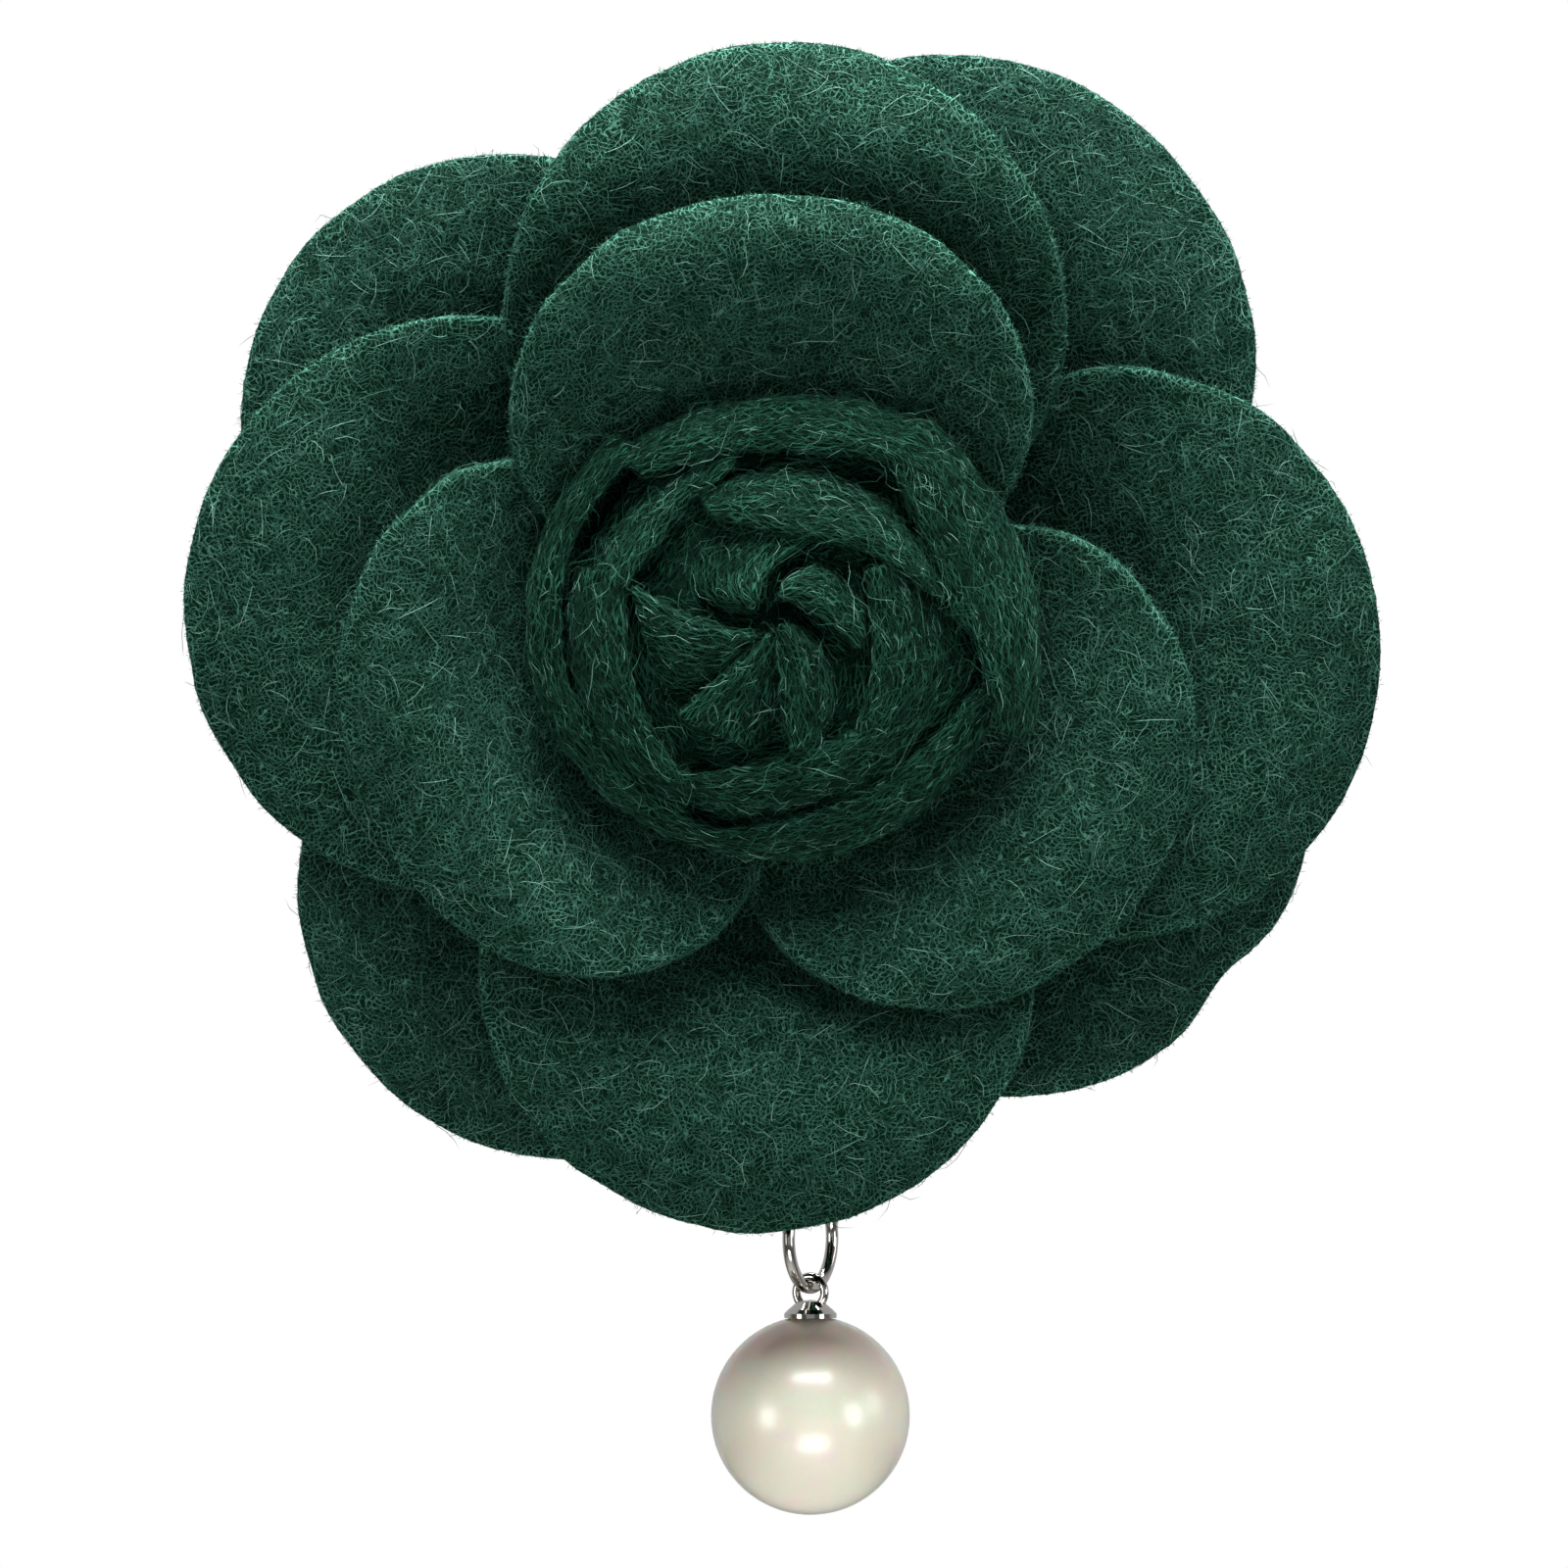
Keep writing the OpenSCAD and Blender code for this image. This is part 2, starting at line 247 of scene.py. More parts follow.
@dataclass(frozen=True)
class Waviness:
    """A smooth random height over a sheet, the sum of waves of about one length in all directions."""

    height: float
    length: float
    seed: int
    waves: int = 16

    def __call__(self, x: np.ndarray, y: np.ndarray) -> np.ndarray:
        """The height at some places.

        Args:
            x: places to the right, in mm.
            y: and up.

        Returns:
            The height at each, in mm.
        """
        rng = np.random.default_rng(self.seed)
        turn, phase = rng.uniform(0, 2 * math.pi, (2, self.waves))
        pull = 2 * math.pi / self.length * rng.uniform(0.7, 1.4, self.waves)
        total = sum(np.sin(k * (x * math.cos(a) + y * math.sin(a)) + p) for k, a, p in zip(pull, turn, phase))
        return self.height * total / math.sqrt(self.waves / 2)


@dataclass(frozen=True)
class WoolFelt:
    """Pressed wool felt, dyed in the piece: matt, thin curved threads over a darker ground; the inner and bud
    copies are darker as painted shade.
    """

    name: str
    ground: str
    strand: str
    turns: tuple[float, ...] = (0.3, 1.4, 2.5)  # directions of the layers of threads, in radians
    combed: bool = False  # whether the threads follow the folds, by the attribute COMB, or cross at random
    bloom: str = "#4f8272"  # of the nap at grazing angles
    spacing_mm: float = 0.38  # between the threads of one layer
    strand_share: float = 0.21  # of that, so threads of 0.08 mm, coarser than real wool, so that they show
    wander: float = 13.0  # how much the threads curve
    fade_mm: float = 1.1  # how far a thread runs before it dips under others
    relief_mm: float = 0.05
    mottle_mm: float = 5.0  # size of the cloudy patches in the dye
    mottle: float = 0.2  # and how much lighter or darker they are
    pale_edge_and_highlight: float = 0.7  # how much lighter the cut edge is: paler teased fibres and a painted highlight along the rim
    WAVE: ClassVar[float] = 0.314  # a wave texture's scale at which its bands lie 1 m apart
    SHIFT: ClassVar[tuple[float, float]] = (0.37, 0.21)  # metres from one layer's pattern to the next one's
    TILT: ClassVar[tuple[float, float]] = (0.2, 0.3)  # and how much more it is tilted, in radians
    STRETCH: ClassVar[float] = 0.4  # scale of combed threads along a fold, so that they run further there

    def threads(self, tree: bpy.types.NodeTree, place: bpy.types.NodeSocket, number: int,
                turn: float) -> bpy.types.NodeSocket:
        """Adds one layer of threads.

        Args:
            tree: the material's node tree.
            place: where on the felt, in metres.
            number: which layer it is.
            turn: the direction of its threads, in radians.

        Returns:
            A value that is 1 on a thread and 0 between threads.
        """
        turned = add_node(tree, "Mapping", {
            "Vector": place, "Location": (number * self.SHIFT[0], number * self.SHIFT[1], 0.11),
            "Rotation": (0, 0, turn) if self.combed else (number * self.TILT[0], turn, number * self.TILT[1]),
            "Scale": (self.STRETCH, 1, 1) if self.combed else (1, 1, 1)})
        wave = add_node(tree, "TexWave", {
            "Vector": turned, "Scale": self.WAVE / (self.spacing_mm * MM), "Distortion": self.wander,
            "Detail": 2.0, "Detail Scale": 0.9}, bands_direction="Y" if self.combed else "X").outputs[1]
        crest = add_node(tree, "MapRange", {
            "Value": wave, "From Min": 0.5 + 0.5 * math.cos(math.pi * self.strand_share), "From Max": 0.995},
            interpolation_type="SMOOTHSTEP")
        fading = add_node(tree, "TexNoise", {"Vector": turned, "Scale": 1 / (self.fade_mm * MM)})
        shown = add_node(tree, "MapRange", {"Value": fading, "From Min": 0.36, "From Max": 0.56})
        return add_node(tree, "Math", {0: crest, 1: shown}, operation="MULTIPLY").outputs[0]

    def material(self) -> bpy.types.Material:
        """Builds the felt: layers of threads, mottled dye, a cut edge lightened by teased fibres and a
        painted highlight, and a faint bloom.

        Returns:
            The material.
        """
        material, tree, shader = new_material(
            self.name, Roughness=0.95, Specular_IOR_Level=0.04, Sheen_Weight=0.05, Sheen_Roughness=0.6,
            Sheen_Tint=linear(self.bloom))
        place = add_node(tree, "TexCoord").outputs["Object"]
        lie = add_node(tree, "Attribute", attribute_name=Bud.COMB).outputs["Vector"] if self.combed else place
        net = None
        for number, turn in enumerate(self.turns):
            layer = self.threads(tree, lie, number, turn)
            net = add_node(tree, "Math", {0: net, 1: layer}, operation="MAXIMUM") if net else layer
        patches = add_node(tree, "TexNoise", {
            "Vector": place, "Scale": 1 / (self.mottle_mm * MM), "Detail": 4.0})
        dyed = add_node(tree, "ValToRGB", {"Fac": net}, stops=((0.0, self.ground), (1.0, self.strand)))
        shade = add_node(tree, "MapRange", {
            "Value": patches, "From Min": 0.3, "From Max": 0.7,
            "To Min": 1 - self.mottle, "To Max": 1 + self.mottle})
        # The cut edge is lightened: paler teased fibres and a painted highlight along the rim
        edge = add_node(tree, "Attribute", attribute_name=Petal.RIM).outputs["Fac"]
        paler = add_node(tree, "Math", {0: edge, 1: self.pale_edge_and_highlight, 2: shade}, operation="MULTIPLY_ADD")
        add_node(tree, "VectorMath", {0: dyed, 1: paler}, to=shader["Base Color"], operation="MULTIPLY")
        add_node(tree, "Bump", {"Height": net, "Distance": self.relief_mm * MM, "Strength": 0.9},
                 to=shader["Normal"])
        return material


@dataclass(frozen=True)
class LooseWool:
    """Single wool fibres teased out of the felt: the same dye, each a little lighter or darker; the bud's
    copy is darker as painted shade, and the rims' copy paler, partly as a painted highlight.
    """

    name: str
    dark: str
    light: str
    pale: str

    def material(self) -> bpy.types.Material:
        """Builds the fibre finish, whose colour follows each fibre's own tone.

        Returns:
            The material.
        """
        material, tree, shader = new_material(self.name, Roughness=0.7, Specular_IOR_Level=0.12)
        tone = add_node(tree, "Attribute", attribute_name=FibreCoat.TONE).outputs["Fac"]
        add_node(tree, "ValToRGB", {"Fac": tone}, to=shader["Base Color"],
                 stops=((0.0, self.dark), (0.85, self.light), (1.0, self.pale)))
        return material


@dataclass(frozen=True)
class NickelPlate:
    """Bright nickel plate on brass wire, tumbled before plating, so it mirrors with faint waves."""

    name: str = "bright_nickel_plate"
    colour: str = "#c9c6c0"
    roughness: float = 0.09
    wave_mm: float = 0.6
    relief_mm: float = 0.01

    def material(self) -> bpy.types.Material:
        """Builds the plate, with a slight unevenness of its gloss and surface.

        Returns:
            The material.
        """
        material, tree, shader = new_material(self.name, Base_Color=linear(self.colour), Metallic=1.0)
        place = add_node(tree, "TexCoord").outputs["Object"]
        waves = add_node(tree, "TexNoise", {"Vector": place, "Scale": 1 / (self.wave_mm * MM), "Detail": 2.0})
        add_node(tree, "MapRange", {
            "Value": waves, "To Min": self.roughness * 0.6, "To Max": self.roughness * 1.6},
            to=shader["Roughness"])
        add_node(tree, "Bump", {"Height": waves, "Distance": self.relief_mm * MM, "Strength": 0.35},
                 to=shader["Normal"])
        return material


@dataclass(frozen=True)
class Nacre:
    """Pearl coating: many thin clear layers, so the gloss is soft and wide over a cream body colour."""

    name: str = "cream_nacre"
    body: str = "#f3f0de"
    rose: str = "#f4ebe0"
    green: str = "#eef2de"
    index: float = 1.6  # of refraction: aragonite layers
    glow_mm: float = 5.0  # how far light spreads below the surface
    cloud_mm: float = 7.0  # size of the patches of overtone
    grain_mm: float = 0.8
    relief_mm: float = 0.006

    def material(self) -> bpy.types.Material:
        """Builds the nacre: cloudy overtones, a satin layer below and a sharper coat above.

        Returns:
            The material.
        """
        material, tree, shader = new_material(
            self.name, Roughness=0.4, IOR=self.index, Specular_IOR_Level=1.0,
            Coat_Weight=1.0, Coat_Roughness=0.2, Coat_IOR=self.index,
            Subsurface_Weight=0.8, Subsurface_Scale=self.glow_mm * MM)
        place = add_node(tree, "TexCoord").outputs["Object"]
        cloud = add_node(tree, "TexNoise", {
            "Vector": place, "Scale": 1 / (self.cloud_mm * MM), "Detail": 2.0, "Distortion": 1.2})
        add_node(tree, "ValToRGB", {"Fac": cloud}, to=shader["Base Color"],
                 stops=((0.3, self.green), (0.5, self.body), (0.7, self.rose)))
        grain = add_node(tree, "TexNoise", {
            "Vector": place, "Scale": 1 / (self.grain_mm * MM), "Detail": 3.0})
        add_node(tree, "Bump", {"Height": grain, "Distance": self.relief_mm * MM, "Strength": 0.3},
                 to=shader["Normal"])
        return material


@dataclass(frozen=True)
class PaperSweep:
    """Matt white background paper that looks evenly lit, and throws no more light on the brooch for that."""

    name: str = "white_paper"
    colour: str = "#d4d4d1"
    glow: str = "#e4e4e2"  # added where the camera sees the paper itself
    tooth: float = 900.0  # grains a metre
    relief_mm: float = 0.02

    def material(self) -> bpy.types.Material:
        """Builds the paper with a faint tooth.

        Returns:
            The material.
        """
        material, tree, shader = new_material(
            self.name, Base_Color=linear(self.colour), Roughness=0.9, Emission_Color=linear(self.glow))
        add_node(tree, "LightPath", to=shader["Emission Strength"])  # its first output is Is Camera Ray
        tooth = add_node(tree, "TexNoise", {"Scale": self.tooth})
        add_node(tree, "Bump", {"Height": tooth, "Distance": self.relief_mm * MM, "Strength": 0.2},
                 to=shader["Normal"])
        return material


OUTER_FELT = WoolFelt("felt_outer", ground="#031a11", strand="#436f60")
# A little darker than the outer felt: painted shade on the inner and middle petals round the bud
INNER_FELT = WoolFelt("felt_inner", ground="#031a11", strand="#3f6b5c")
# The bud's felt and fibres are darker than the petals' same felt: painted shade of its deep folds
BUD_FELT = WoolFelt("felt_bud", ground="#01140c", strand="#2c614e", turns=(-0.6, 0.05, 0.65),
                    combed=True, spacing_mm=0.36, strand_share=0.2, wander=10.0, fade_mm=0.8)
OUTER_WOOL = LooseWool("wool_outer", dark="#0b3325", light="#336657", pale="#7fb0a0")
INNER_WOOL = LooseWool("wool_inner", dark="#0c3627", light="#336757", pale="#7eaf9f")
# Darker than the petals' fibres: painted shade of the bud's folds
BUD_WOOL = LooseWool("wool_bud", dark="#041f16", light="#2b6450", pale="#82b8a6")
# Paler fibres for the cut rims: partly teased wool, partly a painted highlight along the rim
EDGE_WOOL = LooseWool("wool_edge", dark="#265547", light="#437d6a", pale="#6aa28f")


@dataclass(frozen=True)
class Moulding:
    """How the petals of one layer are cupped, in mm."""

    flat_r: float  # the bowl is flat as far out as this
    crest_r: float  # and full from here on
    rise: float  # how far it comes forward
    tip_roll: float  # how far the tip rolls back
    side_roll: float  # and the sides


class Layer(Enum):
    """The four layers of petals, rearmost first; soft rims roll up to 0.7 mm more than packed ones."""

    REAR = Moulding(14, 35, 7.0, 0.3, 0.2)
    OUTER = Moulding(15, 37, 11.3, 2.6, 0.8)
    MIDDLE = Moulding(15, 35.5, 11.8, 3.4, 1.3)
    INNER = Moulding(11.5, 28.5, 10.5, 3.0, 1.2)


@dataclass(frozen=True)
class PetalCut:
    """One petal: its place in mm and degrees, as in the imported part's table."""

    name: str
    angle: float  # which way it points, counterclockwise from the right
    centre: float  # distance of its widest place from the flower's middle
    tip: float  # from its widest place out to the tip
    half_w: float
    root: float  # from its widest place in to the root
    level: float  # depth of its root above the rearmost petals
    layer: Layer
    dent: float = 0.0  # depth of a dent in its rim
    dent_at: float = 0.0  # and its direction from the tip


PETALS = tuple(PetalCut("petal_" + place, *sizes) for place, *sizes in (
    ("rear_top", 89, 22.0, 19.6, 19.5, 17.5, 0.0, Layer.REAR),
    ("rear_bottom", 267, 22.0, 19.4, 18.9, 17.5, 0.0, Layer.REAR),
    ("rear_left", 175, 22.2, 19.6, 19.8, 21.6, 2.2, Layer.REAR, 0.3, 50),
    ("rear_right", 356, 21.6, 19.2, 19.4, 20.8, 2.2, Layer.REAR),
    ("outer_top_left", 142, 24.0, 18.6, 18.6, 17.5, 4.2, Layer.OUTER),
    ("outer_low_right", 325, 20.6, 19.9, 20.9, 17.5, 4.2, Layer.OUTER, 1.5, -6),
    ("outer_top_right", 58.1, 22.4, 21.0, 21.4, 17.5, 6.6, Layer.OUTER),
    ("outer_low_left", 231, 22.6, 19.2, 19.2, 17.5, 6.6, Layer.OUTER),
    ("middle_left", 175, 21.5, 19.8, 20.2, 17.0, 9.1, Layer.MIDDLE),
    ("middle_right", 356.4, 23.2, 18.5, 19.9, 17.0, 9.1, Layer.MIDDLE),
    ("middle_top", 89, 21.4, 19.3, 19.6, 17.0, 11.5, Layer.MIDDLE),
    ("middle_bottom", 266.2, 23.0, 18.6, 19.4, 17.0, 11.5, Layer.MIDDLE),
    ("inner_right", 323.6, 15.2, 15.8, 17.8, 14.0, 14.4, Layer.INNER),
    ("inner_left", 202, 15.7, 15.2, 18.5, 14.0, 16.8, Layer.INNER),
    ("inner_top", 92, 15.1, 14.9, 18.1, 14.0, 19.2, Layer.INNER),
))


@dataclass
class Petal:
    """One moulded petal of felt, cut to an oval and pressed into a cup."""

    cut: PetalCut
    felt: WoolFelt
    seed: int
    felt_t: float = 1.3  # thickness of the felt, in mm
    rear_level: float = 5.2  # depth of the rearmost petals' roots
    dent_width: float = 11.0  # of a dent in the rim, in degrees
    roll_power: float = 4.5  # how suddenly the rim rolls back
    hidden_r: float = 18.0  # out to here the root is sewn flat, and the moulding swells unevenly past it
    swell_over: float = 8.0  # which takes this far to begin
    edge_round: float = 0.32
    edge_share: float = 0.05  # how much of the way out is teased cut edge
    RIM: ClassVar[str] = "rim"  # 1 at the cut edge, where the felt is teased open and paler and carries a painted highlight, and 0 inside
    RIM_WALK: ClassVar[float] = 20.0  # radius in mm of the round that the rim's unevenness is read on
    INSIDE: ClassVar[float] = 0.93  # a place just inside the rim, as a share of the way out
    CUT_FACE: ClassVar[tuple[float, float]] = (-0.4, 0.5)  # where fibres leave it, as shares of the thickness
    rim_wander: Waviness = field(init=False)
    swell: Waviness = field(init=False)
    pitting: Waviness = field(init=False)
    piece: bpy.types.Object | None = None

    def __post_init__(self) -> None:
        """Draws this petal's own unevenness: of its cut rim, of its moulding and of the pressed felt."""
        self.rim_wander = Waviness(0.06, 8.0, self.seed)
        self.swell = Waviness(0.13, 13.0, self.seed + 100)
        self.pitting = Waviness(0.035, 2.6, self.seed + 200)

    def depth(self, out: np.ndarray, across: np.ndarray) -> np.ndarray:
        """Depth of the middle of the felt, in mm.

        Args:
            out: how far out along the petal.
            across: how far to the side of its middle line.

        Returns:
            The depth at each place.
        """
        cup, cut = self.cut.layer.value, self.cut
        a = (out - cut.centre) / np.where(out > cut.centre, cut.tip, cut.root)
        b = across / cut.half_w
        facing = np.cos(np.arctan2(b, a))
        roll = np.where(facing > 0, cup.side_roll + (cup.tip_roll - cup.side_roll) * facing ** 2,
                        cup.side_roll * (1 + facing))
        bowl = smooth_step((np.hypot(out, across) - cup.flat_r) / (cup.crest_r - cup.flat_r))
        return self.rear_level + cut.level + cup.rise * bowl - roll * np.hypot(a, b) ** self.roll_power

    def place(self, share: np.ndarray, angle: np.ndarray) -> np.ndarray:
        """Points of the felt's middle, in the flower's own frame.

        Args:
            share: how far out from the petal's middle to its rim, from 0 to 1.
            angle: direction from the petal's middle, in radians from the tip.

        Returns:
            Rows of x, y and depth in mm.
        """
        cut = self.cut
        from_dent = (np.degrees(angle) - cut.dent_at) / self.dent_width
        reach = 1 - cut.dent / cut.tip * np.exp(-from_dent ** 2)
        reach = reach + self.rim_wander(
            self.RIM_WALK * np.cos(angle), self.RIM_WALK * np.sin(angle)) / cut.half_w
        s = share * reach
        out = cut.centre + s * np.cos(angle) * np.where(np.cos(angle) > 0, cut.tip, cut.root)
        across = s * np.sin(angle) * cut.half_w
        open_part = smooth_step((np.hypot(out, across) - self.hidden_r) / self.swell_over)
        deep = self.depth(out, across) + self.swell(out, across) * open_part + self.pitting(out, across)
        turn = math.radians(cut.angle)
        return np.stack([out * math.cos(turn) - across * math.sin(turn),
                         out * math.sin(turn) + across * math.cos(turn), deep], -1)

    def build(self, blank: bpy.types.Object) -> bpy.types.Object:
        """Presses a copy of the flat blank into this petal's cup and gives it its thickness.

        Args:
            blank: a disc of radius 1 with rings of faces.

        Returns:
            The petal's object.
        """
        self.piece = new_object(self.cut.name.replace("petal", "felt_petal"), blank.data.copy())
        flat = points_of(self.piece)
        share, angle = np.hypot(flat[:, 0], flat[:, 1]), np.arctan2(flat[:, 1], flat[:, 0])
        move_points(self.piece, facing_front(self.place(share, angle)))
        # The rim mask, for the lighter cut edge: teased fibres and a painted highlight
        write_attribute(self.piece.data, self.RIM, smooth_step((share - 1) / self.edge_share + 1))
        finish_with(
            self.piece,
            ("SOLIDIFY", {"thickness": self.felt_t * MM, "offset": 0.0, "use_even_offset": True}),
            ("BEVEL", {"width": self.edge_round * MM, "segments": 3, "limit_method": "ANGLE",
                       "angle_limit": math.radians(50)}))
        smooth(self.piece)
        return self.piece

    def dress(self, felt: bpy.types.Material) -> None:
        """Gives the petal its felt, hangs it on the flower's body and hides the imported part that it
        replaces.

        Args:
            felt: the felt's material.
        """
        self.piece.data.materials.append(felt)
        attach(self.piece, FLOWER)
        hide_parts(self.cut.name)

    def rim(self, count: int, rng: np.random.Generator) -> tuple[np.ndarray, np.ndarray]:
        """Random places on the cut rim, in metres, and which way is out there.

        Args:
            count: how many places.
            rng: the source of random numbers.

        Returns:
            Rows of places and of directions of length 1.
        """
        angle = rng.uniform(-math.pi, math.pi, count)
        at, inside = (facing_front(self.place(np.full(count, s), angle)) for s in (1.0, self.INSIDE))
        away = unit(at - inside)
        through_felt = unit((0, -1, 0) + away * away[:, 1:2])
        return at + rng.uniform(*self.CUT_FACE, (count, 1)) * self.felt_t * MM * through_felt, away


def unit(rows: np.ndarray) -> np.ndarray:
    """Rows scaled to length 1."""
    return rows / np.maximum(np.linalg.norm(rows, axis=-1, keepdims=True), 1e-12)


@dataclass
class Corolla:
    """The fifteen petals, from one flat blank."""

    sides: int = 96
    # Radii of the blank's rings of faces, closer together where the rim rolls
    rings: tuple[float, ...] = (0.965, 0.92, 0.86, 0.79, 0.71, 0.62, 0.53, 0.44, 0.35, 0.26, 0.17, 0.08)
    first_seed: int = 11
    petals: list[Petal] = field(default_factory=list)

    def blank(self) -> bpy.types.Object:
        """Models the flat disc that every petal is pressed from: a circle with rings extruded inwards.

        Returns:
            The disc.
        """
        deselect()
        bpy.ops.mesh.primitive_circle_add(vertices=self.sides, radius=1.0, fill_type="NOTHING")
        disc = bpy.context.object
        with editing(disc):
            at = 1.0
            for ring in self.rings:
                bpy.ops.mesh.extrude_edges_move()
                bpy.ops.transform.resize(value=(ring / at, ring / at, 1))
                at = ring
            bpy.ops.mesh.extrude_edges_move()
            bpy.ops.mesh.merge(type="CENTER")
        return disc

    def build(self) -> None:
        """Presses all petals and dresses them."""
        disc = self.blank()
        felts = {finish.name: finish.material() for finish in (OUTER_FELT, INNER_FELT)}
        for number, cut in enumerate(PETALS):
            felt = OUTER_FELT if cut.layer in (Layer.REAR, Layer.OUTER) else INNER_FELT
            petal = Petal(cut, felt, seed=self.first_seed + number)
            petal.build(disc)
            petal.dress(felts[felt.name])
            self.petals.append(petal)
            log.info("%s: %d faces", petal.piece.name, len(petal.piece.data.polygons))
        bpy.data.objects.remove(disc)

    def of(self, layer: Layer) -> list[Petal]:
        """The petals of one layer."""
        return [petal for petal in self.petals if petal.cut.layer is layer]


def through(values: tuple[float, float, float], t: np.ndarray) -> np.ndarray:
    """A curve through its start, middle and end values, for t from 0 to 1."""
    return values[0] * (1 - t) * (1 - 2 * t) + values[1] * 4 * t * (1 - t) + values[2] * t * (2 * t - 1)


def between(values: tuple[float, float], t: np.ndarray) -> np.ndarray:
    """A straight run from the first value to the second."""
    return values[0] + (values[1] - values[0]) * t


@dataclass(frozen=True)
class Wrap:
    """A band of the rolled strip with its fold on the inside, in mm and degrees."""

    start: float  # where the fold starts, counterclockwise from the right
    end: float
    fold_r: tuple[float, float, float]  # how far out the fold is, at its start, middle and end
    band_w: tuple[float, float, float]  # how wide the band is outside the fold
    top: tuple[float, float]  # height of the fold above the bud's underside
    drop: float  # how far the band falls to its outer side

    def lines(self, t: np.ndarray, middle: np.ndarray) -> Lines:
        """Where the wrap runs.

        Args:
            t: shares of its length, from 0 to 1.
            middle: x and y of the bud's middle.

        Returns:
            The crest of the fold, the outer foot of the band and the height of the crest.
        """
        angle = np.radians(between((self.start, self.end), t))
        way = np.stack([np.cos(angle), np.sin(angle)], -1)
        r = through(self.fold_r, t)[:, None]
        return middle + r * way, middle + (r + through(self.band_w, t)[:, None]) * way, between(self.top, t)


@dataclass(frozen=True)
class Flap:
    """A flap at the middle of the bud, with its fold on the clockwise side, in degrees and mm."""

    crest: Pairs  # direction and distance of the fold at its tip, half way and at its root
    side: Pairs  # and of the flap's other side
    top: tuple[float, float]  # height of the fold at its tip and at its root
    drop: float

    def lines(self, t: np.ndarray, middle: np.ndarray) -> Lines:
        """Where the flap runs.

        Args:
            t: shares of its length, from its tip at 0 to its root at 1.
            middle: x and y of the bud's middle.

        Returns:
            The crest of the fold, the foot of the flap and the height of the crest.
        """
        run = []
        for places in (self.crest, self.side):
            spots = [(r * math.cos(math.radians(a)), r * math.sin(math.radians(a))) for a, r in places]
            run.append(middle + np.stack([through(axis, t) for axis in zip(*spots)], -1))
        return run[0], run[1], between(self.top, t)


WRAPS = (
    Wrap(131, 262, (14.3, 14.7, 15.4), (1.9, 2.2, 1.3), (5.0, 4.2), 2.0),
    Wrap(133, 50, (12.8, 11.2, 13.3), (2.4, 3.6, 3.6), (5.6, 6.2), 2.6),
    Wrap(340, 258, (15.2, 13.6, 15.2), (1.4, 3.4, 1.4), (5.0, 4.5), 2.2),
    Wrap(52, -27, (13.4, 11.9, 17.6), (3.6, 5.8, 2.2), (6.8, 5.4), 2.6),
    Wrap(103, 172, (10.4, 9.1, 10.2), (1.4, 2.9, 2.2), (5.6, 6.8), 2.4),
    Wrap(166, 246, (10.2, 10.5, 13.0), (3.4, 3.8, 2.0), (6.8, 6.0), 1.9),
    Wrap(310, 240, (10.2, 9.9, 12.6), (3.0, 3.4, 1.6), (6.8, 6.0), 1.9),
    Wrap(24, -54, (7.0, 7.2, 9.8), (3.0, 5.2, 3.4), (7.8, 7.0), 3.0),
    Wrap(122, 4, (7.6, 5.7, 11.6), (2.0, 4.7, 0.6), (7.3, 7.8), 2.4),
)
FLAPS = (
    Flap(((80, 1.0), (4, 2.6), (-24, 6.8)), ((72, 1.7), (42, 4.7), (2, 6.6)), (9.4, 7.8), 2.0),
    Flap(((125, 1.2), (82, 3.7), (60, 5.6)), ((185, 1.6), (158, 5.5), (114, 7.2)), (9.0, 6.6), 2.4),
    Flap(((234, 1.7), (184, 5.3), (168, 10.0)), ((238, 2.8), (232, 7.0), (214, 9.2)), (8.9, 7.4), 3.2),
    Flap(((262, 1.3), (232, 5.0), (226, 9.8)), ((285, 2.2), (274, 5.8), (268, 9.8)), (9.2, 7.4), 2.8),
    Flap(((300, 0.9), (276, 5.2), (277, 9.6)), ((340, 1.5), (315, 6.0), (291, 9.7)), (9.3, 7.6), 2.4),
)


